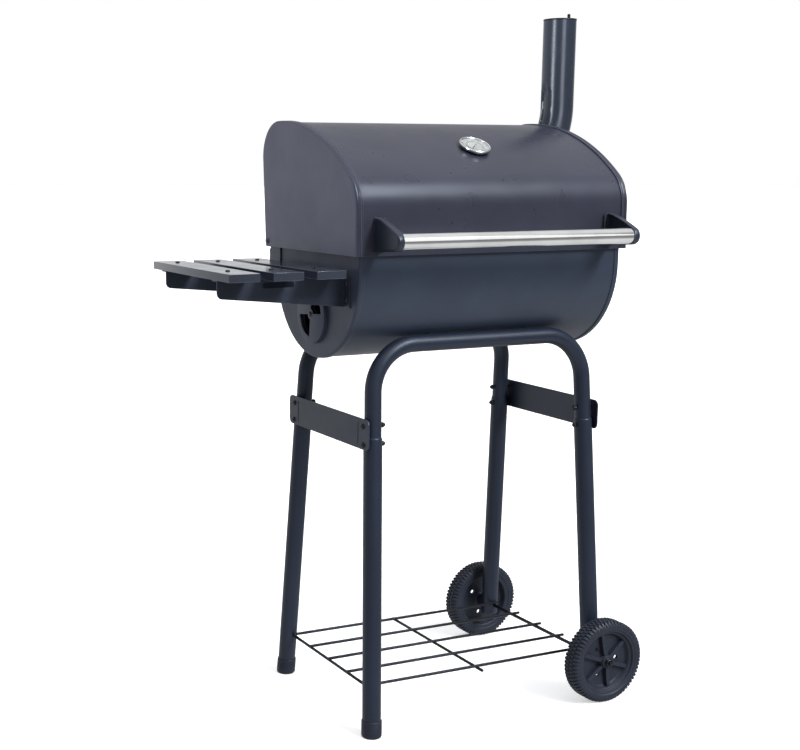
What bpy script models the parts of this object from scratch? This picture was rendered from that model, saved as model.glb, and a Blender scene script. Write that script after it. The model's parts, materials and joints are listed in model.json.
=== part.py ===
"""Barrel charcoal grill on a four-leg tube stand with two wheels, a side shelf and a chimney.

Units are metres, +Z is up, the barrel lies along X and the handle faces -Y.
The origin is on the floor under the middle of the whole grill's bounding box.
"""

import math

import bmesh
import bpy
from mathutils import Matrix, Vector

MM = 0.001

# Where the stand's middle stands, seen from above, and the gap that touching pieces keep.
CENTRE_X = 68.5 * MM
CENTRE_Y = 9.32 * MM
GAP = 0.3 * MM
SHEET = 1.2 * MM

# Stand: two U tubes carry the bowl and slip into four lower leg tubes.
UPPER_TUBE_R = 14.3 * MM
LEG_TUBE_R = 15.9 * MM
TUBE_WALL = 1.2 * MM
FOOT_X = 229.7 * MM
FOOT_Y = 164.5 * MM
TOP_BAR_X = 210.0 * MM
TOP_BAR_Y = 116.5 * MM
TOP_BAR_Z = 658.5 * MM
TOP_BEND_R = 80.0 * MM
LEG_TOP_Z = 507.0 * MM
UPPER_TUBE_END_Z = 480.0 * MM
RIGHT_LEG_END_Z = 57.0 * MM
LEG_FOOT_Z = 3.0 * MM
FOOT_CAP_R = 17.5 * MM
FOOT_CAP_TOP = 29.0 * MM

# Side plates that tie each pair of legs together.
PLATE_HALF_Y = 146.0 * MM
PLATE_LOW_Z = 488.0 * MM
PLATE_HIGH_Z = 540.0 * MM
PLATE_THICK = 2.0 * MM
PLATE_BOLT_Z = (496.0 * MM, 527.0 * MM)
BOLT_R = 3.0 * MM

# Axle and wheels.
WHEEL_R = 75.0 * MM
WHEEL_WIDTH = 35.2 * MM
WHEEL_MID_Y = 193.8 * MM
AXLE_X = 228.5 * MM
AXLE_R = 3.2 * MM
WHEEL_HOLE_RING = 27.0 * MM
WHEEL_HOLE_R = 3.5 * MM

# Bottom rack.
WIRE_R = 2.6 * MM
RACK_Z = 81.3 * MM
RACK_LEFT_X = -222.0 * MM
RACK_MID_X = -2.0 * MM
RACK_END_X = 236.0 * MM
RACK_PITCH = 70.0 * MM

# Bowl: a half round with short upright walls.
BOWL_R = 154.0 * MM
BOWL_HALF_X = 258.0 * MM
BOWL_MID_Z = 781.5 * MM
BOWL_RIM_Z = 812.0 * MM
BOWL_FLANGE = 10.0 * MM

# Lid: lower edge, the corners of its outline in (y, z) and their fillets.
LID_HALF_X = 268.4 * MM
LID_LOW_Z = 809.0 * MM
LID_TOP_Z = 1028.0 * MM
LID_FRONT_Y = -159.5 * MM
LID_BACK_Y = 177.0 * MM
LID_SHOULDER = (-157.0 * MM, 918.0 * MM)
LID_CROWN_Y = -23.0 * MM
LID_BACK_TOP_Y = 194.0 * MM
LID_SHOULDER_R = 70.0 * MM
LID_CROWN_R = 395.0 * MM
LID_BACK_TOP_R = 60.0 * MM
LID_FLANGE = 12.0 * MM

# Lid hinge: two pins, one at each end.
HINGE_Y = 168.0 * MM
HINGE_Z = 819.0 * MM
HINGE_PIN_R = 3.0 * MM
NOTCH_INNER_X = 252.0 * MM
NOTCH_OUTER_X = 264.5 * MM
NOTCH_TOP_Z = 831.0 * MM

# Handle.
HANDLE_Y = -219.3 * MM
HANDLE_Z = 834.3 * MM
HANDLE_R = 13.0 * MM
HANDLE_HALF_X = 233.0 * MM
CUP_R = 15.2 * MM
CUP_DEPTH = 9.5 * MM
CUP_SHEET = 1.5 * MM

# Thermometer on the crown of the lid.
DIAL_X = 9.5 * MM
DIAL_Y = -68.0 * MM
DIAL_R = 28.0 * MM

# Chimney on the lid's right end.
CHIMNEY_X = 318.0 * MM
CHIMNEY_Y = 117.0 * MM
CHIMNEY_R = 30.5 * MM
CHIMNEY_WALL = 1.2 * MM
CHIMNEY_TOP_Z = 1220.0 * MM
CHIMNEY_BEND_Z = 1062.0 * MM
CHIMNEY_BEND_R = 150.0 * MM
CHIMNEY_TURN = math.radians(36)
FLAP_PIVOT = 20.0 * MM
FLAP_R = 31.0 * MM

# Air damper on the bowl's left end.
DAMPER_Y = 4.0 * MM
DAMPER_Z = 702.0 * MM
DAMPER_R = 50.0 * MM
DAMPER_DEPTH = 7.0 * MM
VENT_INNER_R = 9.0 * MM
VENT_OUTER_R = 39.0 * MM
VENT_SPAN = 80.0
VENT_TURN = 95.0

# Side shelf.
SHELF_TOP_Z = 788.0 * MM
SHELF_LEFT_X = -486.0 * MM
SLAT_WIDTH = 53.0 * MM
SLAT_PITCH = 75.3 * MM
SLAT_FRONT_Y = -156.0 * MM
SLAT_BACK_Y = 173.0 * MM
SLAT_THICK = 13.0 * MM
BRACKET_MID_Y = 7.0 * MM
BRACKET_REACH = 110.0 * MM
BRACKET_THICK = 2.0 * MM

# Grates.
COOKING_GRATE_Z = 796.0 * MM
CHARCOAL_GRATE_Z = 702.0 * MM
GRATE_HALF_X = 250.0 * MM


# ---------------------------------------------------------------- scene helpers

def clear_scene():
    """Take every object out of the scene."""
    for obj in list(bpy.data.objects):
        bpy.data.objects.remove(obj, do_unlink=True)


def make_material(name, colour, roughness, metallic):
    """Return a Principled material."""
    material = bpy.data.materials.new(name)
    material.use_nodes = True
    shader = material.node_tree.nodes["Principled BSDF"]
    shader.inputs["Base Color"].default_value = (*colour, 1.0)
    shader.inputs["Roughness"].default_value = roughness
    shader.inputs["Metallic"].default_value = metallic
    return material


def pivot(name, place):
    """Return an empty at a joint's place, for moving pieces to hang on."""
    empty = bpy.data.objects.new(name, None)
    empty.location = place
    bpy.context.scene.collection.objects.link(empty)
    return empty


def finish(name, bm, material, origin=None, parent=None):
    """Close a bmesh into an object whose origin is at the given place."""
    origin = Vector(origin) if origin is not None else Vector((0.0, 0.0, 0.0))
    bmesh.ops.remove_doubles(bm, verts=bm.verts, dist=1e-6)
    bmesh.ops.recalc_face_normals(bm, faces=bm.faces)
    if bm.calc_volume(signed=True) < 0:
        bmesh.ops.reverse_faces(bm, faces=bm.faces)
    bmesh.ops.translate(bm, verts=bm.verts, vec=-origin)
    mesh = bpy.data.meshes.new(name)
    bm.to_mesh(mesh)
    bm.free()
    mesh.shade_smooth()
    mesh.set_sharp_from_angle(angle=math.radians(35))
    mesh.materials.append(material)
    obj = bpy.data.objects.new(name, mesh)
    bpy.context.scene.collection.objects.link(obj)
    obj.location = origin
    if parent is not None:
        obj.parent = parent
        obj.location = origin - parent.location
    return obj


def boolean(target, tool, operation, solver="EXACT"):
    """Cut or join one object with a hidden tool object."""
    tool.hide_render = True
    tool.display_type = "WIRE"
    modifier = target.modifiers.new(operation.lower(), "BOOLEAN")
    modifier.operation = operation
    modifier.solver = solver
    modifier.object = tool
    return modifier


# ---------------------------------------------------------------- shape helpers

def at(x, y, z):
    """Place a point of the stand's own frame in the grill's frame."""
    return Vector((CENTRE_X + x, CENTRE_Y + y, z))


def rounded_path(corners, radii, steps):
    """Return the corners of a polyline with each inner corner turned into an arc."""
    points = [Vector(corners[0])]
    for before, corner, after, radius in zip(corners, corners[1:], corners[2:], radii):
        corner = Vector(corner)
        to_before = (Vector(before) - corner).normalized()
        to_after = (Vector(after) - corner).normalized()
        half_turn = (math.pi - to_before.angle(to_after)) / 2
        reach = radius * math.tan(half_turn)
        centre = corner + (to_before + to_after).normalized() * (radius / math.cos(half_turn))
        start = corner + to_before * reach - centre
        end = corner + to_after * reach - centre
        for step in range(steps + 1):
            share = step / steps
            arm = start.slerp(end, share) * radius
            points.append(centre + arm)
    points.append(Vector(corners[-1]))
    return points


def offset_profile(points, distance):
    """Move an open (y, z) polyline sideways; positive goes to the left of its direction."""
    moved = []
    for index, point in enumerate(points):
        ways = []
        if index > 0:
            ways.append((point - points[index - 1]).normalized())
        if index < len(points) - 1:
            ways.append((points[index + 1] - point).normalized())
        mean = sum(ways, Vector((0.0, 0.0))).normalized()
        normal = Vector((-mean.y, mean.x))
        stretch = 1.0 / max(0.3, normal.dot(Vector((-ways[0].y, ways[0].x))))
        moved.append(point + normal * distance * stretch)
    moved[0].y = points[0].y
    moved[-1].y = points[-1].y
    return moved


def add_prism(bm, outline, low, high, place):
    """Extrude a closed outline; place(u, v, w) turns its numbers into a point."""
    bottom = [bm.verts.new(place(u, v, low)) for u, v in outline]
    top = [bm.verts.new(place(u, v, high)) for u, v in outline]
    bm.faces.new(bottom)
    bm.faces.new(list(reversed(top)))
    count = len(outline)
    for index in range(count):
        after = (index + 1) % count
        bm.faces.new((bottom[index], top[index], top[after], bottom[after]))


def along_x(u, v, w):
    """An outline in (y, z), extruded along X."""
    return at(w, u, v)


def along_y(u, v, w):
    """An outline in (x, z), extruded along Y."""
    return at(u, w, v)


def along_z(u, v, w):
    """An outline in (x, y), extruded along Z."""
    return at(u, v, w)


def circle(radius, sides, centre=(0.0, 0.0), turn=0.0):
    """Return the corners of a round outline."""
    step = 2 * math.pi / sides
    return [
        (
            centre[0] + radius * math.cos(turn + index * step),
            centre[1] + radius * math.sin(turn + index * step),
        )
        for index in range(sides)
    ]


def rounded_rectangle(low_u, low_v, high_u, high_v, radius, steps=3):
    """Return a rectangle's outline with round corners."""
    outline = []
    corners = (
        (high_u - radius, high_v - radius, 0),
        (low_u + radius, high_v - radius, 90),
        (low_u + radius, low_v + radius, 180),
        (high_u - radius, low_v + radius, 270),
    )
    for u, v, first in corners:
        for step in range(steps + 1):
            angle = math.radians(first + 90 * step / steps)
            outline.append((u + radius * math.cos(angle), v + radius * math.sin(angle)))
    return outline


def add_turned(bm, profile, centre, axis, sides):
    """Spin a closed (radius, height) profile about an axis through centre."""
    axis = Vector(axis).normalized()
    across = axis.orthogonal().normalized()
    other = axis.cross(across)
    rings = []
    for step in range(sides):
        angle = 2 * math.pi * step / sides
        arm = across * math.cos(angle) + other * math.sin(angle)
        rings.append([centre + axis * height + arm * radius for radius, height in profile])
    made = {}

    def vert(point):
        key = tuple(round(value, 7) for value in point)
        if key not in made:
            made[key] = bm.verts.new(point)
        return made[key]

    count = len(profile)
    for step in range(sides):
        here = rings[step]
        there = rings[(step + 1) % sides]
        for index in range(count):
            after = (index + 1) % count
            corners = []
            for point in (here[index], there[index], there[after], here[after]):
                corner = vert(point)
                if corner not in corners:
                    corners.append(corner)
            if len(corners) > 2:
                bm.faces.new(corners)


def add_tube(bm, path, outer, inner, sides, cut_x=None):
    """Sweep a round section along a path; inner is the bore's radius or None.

    With cut_x the last end is mitred to lie in the plane X = cut_x.
    """
    tangents = []
    for index in range(len(path)):
        before = path[max(index - 1, 0)]
        after = path[min(index + 1, len(path) - 1)]
        tangents.append((after - before).normalized())
    normal = tangents[0].orthogonal().normalized()
    radii = [outer] if inner is None else [outer, inner]
    walls = [[] for radius in radii]
    for point, tangent in zip(path, tangents):
        normal = (normal - tangent * normal.dot(tangent)).normalized()
        other = tangent.cross(normal)
        for wall, radius in zip(walls, radii):
            ring = []
            for u, v in circle(radius, sides):
                ring.append(bm.verts.new(point + normal * u + other * v))
            wall.append(ring)
            if cut_x is not None and point is path[-1]:
                for corner in ring:
                    corner.co += tangent * ((cut_x - corner.co.x) / tangent.x)
    for wall in walls:
        for low, high in zip(wall, wall[1:]):
            for index in range(sides):
                after = (index + 1) % sides
                bm.faces.new((low[index], low[after], high[after], high[index]))
    for end in (0, -1):
        if inner is None:
            bm.faces.new(walls[0][end])
            continue
        for index in range(sides):
            after = (index + 1) % sides
            rim = (walls[0][end][index], walls[0][end][after])
            bore = (walls[1][end][after], walls[1][end][index])
            bm.faces.new(rim + bore)


def cylinder(name, start, end, radius, material, sides=12):
    """Return a solid rod between two points."""
    bm = bmesh.new()
    add_tube(bm, [Vector(start), Vector(end)], radius, None, sides)
    return finish(name, bm, material)


def drill(target, start, end, radius, sides=12):
    """Cut a round hole through an object."""
    tool = cylinder("cut_" + target.name, start, end, radius, target.data.materials[0], sides)
    boolean(target, tool, "DIFFERENCE")


def bolt_and_nut(name, head, nut, material, shank=BOLT_R):
    """A bolt from its head's seat to its nut's seat, with both drawn tight."""
    way = (nut - head).normalized()
    length = (nut - head).length
    profile = [
        (0.0, -3.6 * MM),
        (3.6 * MM, -3.6 * MM),
        (5.4 * MM, -1.8 * MM),
        (5.8 * MM, 0.0),
        (shank, 0.0),
        (shank, length),
        (5.5 * MM, length),
        (5.5 * MM, length + 4.5 * MM),
        (shank, length + 4.5 * MM),
        (shank, length + 7.5 * MM),
        (0.0, length + 7.5 * MM),
    ]
    bm = bmesh.new()
    add_turned(bm, profile, head, way, 8)
    return finish(name, bm, material)


# ---------------------------------------------------------------- materials

BLACK = make_material("satin_black_powder_coat", (0.045, 0.05, 0.065), 0.38, 0.0)
LEG_BLACK = make_material("leg_powder_coat", (0.03, 0.035, 0.05), 0.42, 0.0)
CHROME = make_material("polished_tube", (0.78, 0.78, 0.76), 0.12, 1.0)
ZINC = make_material("zinc_plate", (0.55, 0.55, 0.53), 0.35, 1.0)
WIRE = make_material("coated_wire", (0.02, 0.02, 0.025), 0.45, 0.0)
PLASTIC = make_material("wheel_plastic", (0.022, 0.026, 0.036), 0.55, 0.0)
CAP_PLASTIC = make_material("foot_plastic", (0.02, 0.02, 0.022), 0.6, 0.0)
GLOSS = make_material("chimney_gloss_black", (0.012, 0.012, 0.015), 0.18, 0.0)
ENAMEL = make_material("grate_enamel", (0.03, 0.03, 0.032), 0.3, 0.0)
DIAL_WHITE = make_material("dial_face", (0.8, 0.8, 0.78), 0.5, 0.0)
GLASS = make_material("dial_glass", (0.9, 0.92, 0.92), 0.03, 0.0)
NEEDLE_RED = make_material("needle_red", (0.6, 0.03, 0.02), 0.5, 0.0)


# ---------------------------------------------------------------- stand

def leg_axis(side_x, side_y, z):
    """The middle of a leg at a height: the legs splay outwards in X and Y."""
    share = z / TOP_BAR_Z
    x = side_x * (FOOT_X + (TOP_BAR_X - FOOT_X) * share)
    y = side_y * (FOOT_Y + (TOP_BAR_Y - FOOT_Y) * share)
    return at(x, y, z)


def make_u_tube(name, side_y):
    """One bent tube: a bar under the bowl with a leg stub at each end."""
    corners = [
        leg_axis(-1, side_y, UPPER_TUBE_END_Z),
        leg_axis(-1, side_y, TOP_BAR_Z),
        leg_axis(1, side_y, TOP_BAR_Z),
        leg_axis(1, side_y, UPPER_TUBE_END_Z),
    ]
    bm = bmesh.new()
    path = rounded_path(corners, (TOP_BEND_R, TOP_BEND_R), 6)
    add_tube(bm, path, UPPER_TUBE_R, UPPER_TUBE_R - TUBE_WALL, 16)
    return finish(name, bm, LEG_BLACK)


def make_leg(name, side_x, side_y, low):
    """A lower leg tube with level ends."""
    bore = LEG_TUBE_R - TUBE_WALL
    bm = bmesh.new()
    rings = []
    for z, radius in ((low, LEG_TUBE_R), (LEG_TOP_Z, LEG_TUBE_R), (LEG_TOP_Z, bore), (low, bore)):
        middle = leg_axis(side_x, side_y, z)
        ring = [bm.verts.new(middle + Vector((u, v, 0.0))) for u, v in circle(radius, 20)]
        rings.append(ring)
    for ring, after in zip(rings, rings[1:] + rings[:1]):
        for index in range(20):
            following = (index + 1) % 20
            bm.faces.new((ring[index], ring[following], after[following], after[index]))
    return finish(name, bm, LEG_BLACK)


def make_foot_cap(name, side_y):
    """A cup that closes a left leg's end and stands on the floor."""
    bore = LEG_TUBE_R + GAP
    bm = bmesh.new()
    levels = (
        (0.0, FOOT_CAP_R - 1.5 * MM),
        (1.5 * MM, FOOT_CAP_R),
        (FOOT_CAP_TOP - 1.0 * MM, FOOT_CAP_R),
        (FOOT_CAP_TOP, FOOT_CAP_R - 0.6 * MM),
        (FOOT_CAP_TOP, bore),
        (LEG_FOOT_Z - GAP, bore),
    )
    rings = []
    for z, radius in levels:
        middle = leg_axis(-1, side_y, z)
        rings.append([bm.verts.new(middle + Vector((u, v, 0.0))) for u, v in circle(radius, 20)])
    for ring, after in zip(rings, rings[1:]):
        for index in range(20):
            following = (index + 1) % 20
            bm.faces.new((ring[index], ring[following], after[following], after[index]))
    bm.faces.new(rings[0])
    bm.faces.new(rings[-1])
    return finish(name, bm, CAP_PLASTIC)


def plate_face_x():
    """The inner face of a side plate, just clear of the leg tubes."""
    return abs(leg_axis(1, 1, PLATE_LOW_Z).x - CENTRE_X) + LEG_TUBE_R + GAP


def make_side_plate(name, side_x):
    """A flat bar across a front and a rear leg, with round corners."""
    inner = side_x * plate_face_x()
    outer = inner + side_x * PLATE_THICK
    outline = rounded_rectangle(-PLATE_HALF_Y, PLATE_LOW_Z, PLATE_HALF_Y, PLATE_HIGH_Z, 10.0 * MM)
    bm = bmesh.new()
    add_prism(bm, outline, min(inner, outer), max(inner, outer), along_x)
    return finish(name, bm, LEG_BLACK)


def make_stand():
    """Build the tubes, plates and their bolts."""
    tubes = {}
    for side_y, row in ((-1, "front"), (1, "rear")):
        tubes[row] = make_u_tube("u_tube_" + row, side_y)
        make_foot_cap("foot_cap_" + row, side_y)
    legs = {}
    for side_x, column in ((-1, "left"), (1, "right")):
        low = LEG_FOOT_Z if side_x < 0 else RIGHT_LEG_END_Z
        for side_y, row in ((-1, "front"), (1, "rear")):
            legs[row, column] = make_leg("leg_" + row + "_" + column, side_x, side_y, low)
    for side_x, column in ((-1, "left"), (1, "right")):
        plate = make_side_plate("side_plate_" + column, side_x)
        seat = plate_face_x() + PLATE_THICK + GAP
        for side_y, row in ((-1, "front"), (1, "rear")):
            for height, level in zip(PLATE_BOLT_Z, ("lower", "upper")):
                middle = leg_axis(side_x, side_y, height) - at(0.0, 0.0, 0.0)
                inside = abs(middle.x) - LEG_TUBE_R - GAP
                head = at(side_x * seat, middle.y, height)
                nut = at(side_x * inside, middle.y, height)
                past = at(side_x * (inside - 20.0 * MM), middle.y, height)
                before = at(side_x * (seat + 10.0 * MM), middle.y, height)
                drill(plate, before, past, BOLT_R + GAP, 8)
                drill(tubes[row], before, past, BOLT_R + GAP, 8)
                if level == "lower":
                    drill(legs[row, column], before, past, BOLT_R + GAP, 8)
                bolt_and_nut("plate_bolt_" + row + "_" + column + "_" + level, head, nut, ZINC)
    return tubes, legs


def make_axle(legs):
    """The rod through both right legs."""
    reach = WHEEL_MID_Y + WHEEL_WIDTH / 2 + 6.0 * MM
    front = at(AXLE_X, -reach, WHEEL_R)
    rear = at(AXLE_X, reach, WHEEL_R)
    cylinder("axle", front, rear, AXLE_R, ZINC, 16)
    for row in ("front", "rear"):
        drill(legs[row, "right"], front, rear, AXLE_R + GAP, 12)


def make_wheel(name, side_y, angle):
    """A moulded wheel with a deep stepped face, a web and three small holes."""
    half = WHEEL_WIDTH / 2
    bore = AXLE_R + GAP
    profile = [
        (bore, -half),
        (12.0 * MM, -half),
        (13.0 * MM, -3.0 * MM),
        (50.0 * MM, -3.0 * MM),
        (53.0 * MM, -half + 1.5 * MM),
        (67.0 * MM, -half),
        (WHEEL_R, -half + 4.0 * MM),
        (WHEEL_R, half - 4.0 * MM),
        (67.0 * MM, half),
        (57.0 * MM, half - 1.5 * MM),
        (52.0 * MM, half - 7.0 * MM),
        (49.0 * MM, 2.5 * MM),
        (14.0 * MM, 2.5 * MM),
        (11.5 * MM, half - 2.0 * MM),
        (bore, half - 2.0 * MM),
    ]
    centre = at(AXLE_X, side_y * WHEEL_MID_Y, WHEEL_R)
    bm = bmesh.new()
    add_turned(bm, profile, centre, (0.0, side_y, 0.0), 36)
    wheel = finish(name, bm, PLASTIC, origin=centre)
    for index in range(3):
        turn = math.radians(angle + 120 * index)
        arm = Vector((math.cos(turn), 0.0, math.sin(turn))) * WHEEL_HOLE_RING
        through = Vector((0.0, 10.0 * MM, 0.0))
        drill(wheel, centre + arm - through, centre + arm + through, WHEEL_HOLE_R, 8)
    return wheel


def make_wheels():
    """Both wheels and the nuts that keep them on the axle."""
    for side_y, row, angle in ((-1, "front", 12.0), (1, "rear", 20.0)):
        make_wheel("wheel_" + row, side_y, angle)
        seat = WHEEL_MID_Y + WHEEL_WIDTH / 2 - 2.0 * MM + GAP
        bore = AXLE_R + GAP
        profile = [(bore, 0.0), (8.0 * MM, 0.0), (7.0 * MM, 5.5 * MM), (bore, 5.5 * MM)]
        bm = bmesh.new()
        add_turned(bm, profile, at(AXLE_X, side_y * seat, WHEEL_R), (0.0, side_y, 0.0), 16)
        finish("axle_nut_" + row, bm, ZINC)


def make_bottom_rack(legs):
    """Five long wires welded on two cross wires; the left one plugs into the legs."""
    leg_y = abs(leg_axis(-1, 1, RACK_Z).y - CENTRE_Y)
    left_reach = leg_y + 6.0 * MM
    mid_reach = 2 * RACK_PITCH + 14.0 * MM
    low_z = RACK_Z - 1.7 * WIRE_R
    cross = bmesh.new()
    for x, reach in ((RACK_LEFT_X, left_reach), (RACK_MID_X, mid_reach)):
        add_tube(cross, [at(x, -reach, low_z), at(x, reach, low_z)], WIRE_R, None, 8)
    rack = finish("bottom_rack", cross, WIRE)
    long_wires = bmesh.new()
    for index in range(5):
        y = (index - 2) * RACK_PITCH
        path = [at(RACK_LEFT_X - 4.0 * MM, y, RACK_Z), at(RACK_END_X, y, RACK_Z)]
        add_tube(long_wires, path, WIRE_R, None, 8)
    boolean(rack, finish("join_long_wires", long_wires, WIRE), "UNION")
    for side_y, row in ((-1, "front"), (1, "rear")):
        inside = at(RACK_LEFT_X, side_y * (leg_y - 30.0 * MM), low_z)
        outside = at(RACK_LEFT_X, side_y * (leg_y + 8.0 * MM), low_z)
        drill(legs[row, "left"], inside, outside, WIRE_R + GAP, 10)


# ---------------------------------------------------------------- bowl

def bowl_profile(radius, steps=18):
    """The bowl's outer (y, z) line from the front rim, down and round to the back rim."""
    points = [Vector((-radius, BOWL_RIM_Z))]
    for step in range(steps + 1):
        angle = math.pi + math.pi * step / steps
        points.append(Vector((radius * math.cos(angle), BOWL_MID_Z + radius * math.sin(angle))))
    points.append(Vector((radius, BOWL_RIM_Z)))
    return points


def add_sheet(bm, outer, inner, low, high):
    """Extrude a bent sheet along X between two profiles."""
    outline = [tuple(point) for point in outer + list(reversed(inner))]
    add_prism(bm, outline, low, high, along_x)


def add_end_cap(bm, outer, inner, face_x, side_x, flange):
    """A flat end plate with a flange round its curved edge and one open straight side."""
    back_x = face_x - side_x * SHEET
    edge_x = face_x - side_x * flange
    count = len(outer)
    face = [bm.verts.new(along_x(*point, face_x)) for point in outer]
    rim = [bm.verts.new(along_x(*point, edge_x)) for point in outer]
    lip = [bm.verts.new(along_x(*point, edge_x)) for point in inner]
    back = [bm.verts.new(along_x(*point, back_x)) for point in inner]
    bm.faces.new(face)
    bm.faces.new(back)
    for row, after in ((face, rim), (rim, lip), (lip, back)):
        for index in range(count - 1):
            bm.faces.new((row[index], row[index + 1], after[index + 1], after[index]))
    bm.faces.new((face[0], face[-1], rim[-1], lip[-1], back[-1], back[0], lip[0], rim[0]))


def sector(centre, inner, outer, first, last, steps=5):
    """The outline of a ring sector in (y, z)."""
    outline = []
    for radius, start, stop in ((outer, first, last), (inner, last, first)):
        for step in range(steps + 1):
            angle = math.radians(start + (stop - start) * step / steps)
            u = centre[0] + radius * math.cos(angle)
            v = centre[1] + radius * math.sin(angle)
            outline.append((u, v))
    return outline


def cut_vents(target, low, high):
    """Cut the two opposite sector openings of the air inlet through a sheet."""
    for first in (VENT_TURN, VENT_TURN + 180.0):
        last = first + VENT_SPAN
        outline = sector((DAMPER_Y, DAMPER_Z), VENT_INNER_R, VENT_OUTER_R, first, last)
        bm = bmesh.new()
        add_prism(bm, outline, low, high, along_x)
        boolean(target, finish("cut_vent_" + target.name, bm, BLACK), "DIFFERENCE")


def make_bowl():
    """The curved sheet and its two end caps."""
    outer = bowl_profile(BOWL_R)
    inner = offset_profile(outer, SHEET)
    shell_outer = offset_profile(outer, SHEET + GAP)
    shell_inner = offset_profile(outer, 2 * SHEET + GAP)
    end_x = BOWL_HALF_X - SHEET - GAP
    bm = bmesh.new()
    add_sheet(bm, shell_outer, shell_inner, -end_x, end_x)
    shell = finish("bowl_shell", bm, BLACK)
    caps = {}
    for side_x, column in ((-1, "left"), (1, "right")):
        bm = bmesh.new()
        add_end_cap(bm, outer, inner, side_x * BOWL_HALF_X, side_x, BOWL_FLANGE)
        caps[column] = finish("bowl_end_" + column, bm, BLACK)
    return shell, caps


def bolt_bowl_to_stand(shell, tubes):
    """Four bolts from inside the bowl, square to its wall, into nuts held inside the top bars."""
    centre = Vector((0.0, BOWL_MID_Z))
    for side_y, row in ((-1, "front"), (1, "rear")):
        bar = Vector((side_y * TOP_BAR_Y, TOP_BAR_Z))
        way = (centre - bar).normalized()
        wall = BOWL_R * math.cos(math.radians(5)) - 2 * SHEET - 4 * GAP
        head = centre - way * wall
        nut = bar + way * (UPPER_TUBE_R - TUBE_WALL - 1.6 * MM)
        for x, column in ((-100.0 * MM, "left"), (100.0 * MM, "right")):
            start = at(x, *(head + way * 10.0 * MM))
            end = at(x, *bar)
            drill(shell, start, end, BOLT_R + GAP, 8)
            drill(tubes[row], start, end, BOLT_R + GAP, 8)
            bolt_and_nut("bowl_bolt_" + row + "_" + column, at(x, *head), at(x, *nut), ZINC)


def make_damper(cap):
    """The turning air disc, the vents behind it and its rivet."""
    face = -BOWL_HALF_X
    cut_vents(cap, face - 5.0 * MM, face + 5.0 * MM)
    centre = at(face - GAP, DAMPER_Y, DAMPER_Z)
    bore = 2.6 * MM
    wall = 1.4 * MM
    profile = [
        (bore, DAMPER_DEPTH - wall),
        (DAMPER_R - 4.0 * MM, DAMPER_DEPTH - wall),
        (DAMPER_R - 2.0 * MM, DAMPER_DEPTH - 2 * wall),
        (DAMPER_R - wall, 0.0),
        (DAMPER_R, 0.0),
        (DAMPER_R - 0.2 * MM, DAMPER_DEPTH - wall),
        (DAMPER_R - 1.4 * MM, DAMPER_DEPTH),
        (bore, DAMPER_DEPTH),
    ]
    bm = bmesh.new()
    add_turned(bm, profile, centre, (-1.0, 0.0, 0.0), 32)
    disc = finish("air_damper", bm, BLACK, origin=centre)
    cut_vents(disc, face - 12.0 * MM, face + 2.0 * MM)
    # A small finger tab stands up from the disc near its edge.
    tab_low = DAMPER_Z + DAMPER_R - 8.0 * MM
    tab_side = 9.0 * MM
    tab_outline = rounded_rectangle(
        DAMPER_Y - tab_side, tab_low, DAMPER_Y + tab_side, tab_low + 2.0 * MM, 0.9 * MM, 2
    )
    bm = bmesh.new()
    tab_root = face - GAP - DAMPER_DEPTH + 0.5 * MM
    add_prism(bm, tab_outline, tab_root - 11.0 * MM, tab_root, along_x)
    boolean(disc, finish("join_damper_tab", bm, BLACK), "UNION")
    through = Vector((9.0 * MM, 0.0, 0.0))
    drill(cap, centre + through, centre - through, bore, 12)
    # The rivet's shoulder holds the disc's face away from the bowl's end.
    shank = 2.3 * MM
    shoulder = DAMPER_DEPTH - wall - GAP
    head = DAMPER_DEPTH + GAP
    back = -(SHEET + 2 * GAP)
    rivet = [
        (0.0, back - 1.6 * MM),
        (4.5 * MM, back - 1.6 * MM),
        (4.5 * MM, back),
        (shank, back),
        (shank, 0.0),
        (4.5 * MM, 0.0),
        (4.5 * MM, shoulder),
        (shank, shoulder),
        (shank, head),
        (4.5 * MM, head),
        (3.4 * MM, head + 1.4 * MM),
        (0.0, head + 1.8 * MM),
    ]
    bm = bmesh.new()
    add_turned(bm, rivet, centre, (-1.0, 0.0, 0.0), 16)
    finish("damper_rivet", bm, ZINC)


# ---------------------------------------------------------------- grates

def make_ledges():
    """Angle strips inside the bowl's ends that hold the cooking grate."""
    for side_x, column in ((-1, "left"), (1, "right")):
        wall = side_x * (BOWL_HALF_X - SHEET - GAP)
        outline = [
            (wall, COOKING_GRATE_Z - 22.0 * MM),
            (wall - side_x * 1.5 * MM, COOKING_GRATE_Z - 22.0 * MM),
            (wall - side_x * 1.5 * MM, COOKING_GRATE_Z - 5.0 * MM),
            (wall - side_x * 16.0 * MM, COOKING_GRATE_Z - 5.0 * MM),
            (wall - side_x * 16.0 * MM, COOKING_GRATE_Z - 3.5 * MM),
            (wall, COOKING_GRATE_Z - 3.5 * MM),
        ]
        bm = bmesh.new()
        add_prism(bm, outline, -110.0 * MM, 110.0 * MM, along_y)
        finish("grate_ledge_" + column, bm, BLACK)


def make_grate(name, half_x, half_y, z, rods, material, rod_r):
    """Two long rails with cross rods welded on top of them."""
    rail_r = 3.0 * MM
    rails = bmesh.new()
    for side_y in (-1, 1):
        y = side_y * (half_y - rail_r)
        add_tube(rails, [at(-half_x, y, z), at(half_x, y, z)], rail_r, None, 8)
    grate = finish(name, rails, material)
    cross = bmesh.new()
    for index in range(rods):
        x = -half_x + 8.0 * MM + (2 * half_x - 16.0 * MM) * index / (rods - 1)
        lift = z + rail_r + 0.4 * rod_r
        add_tube(cross, [at(x, -half_y, lift), at(x, half_y, lift)], rod_r, None, 6)
    boolean(grate, finish("join_" + name, cross, material), "UNION")
    return grate


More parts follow.
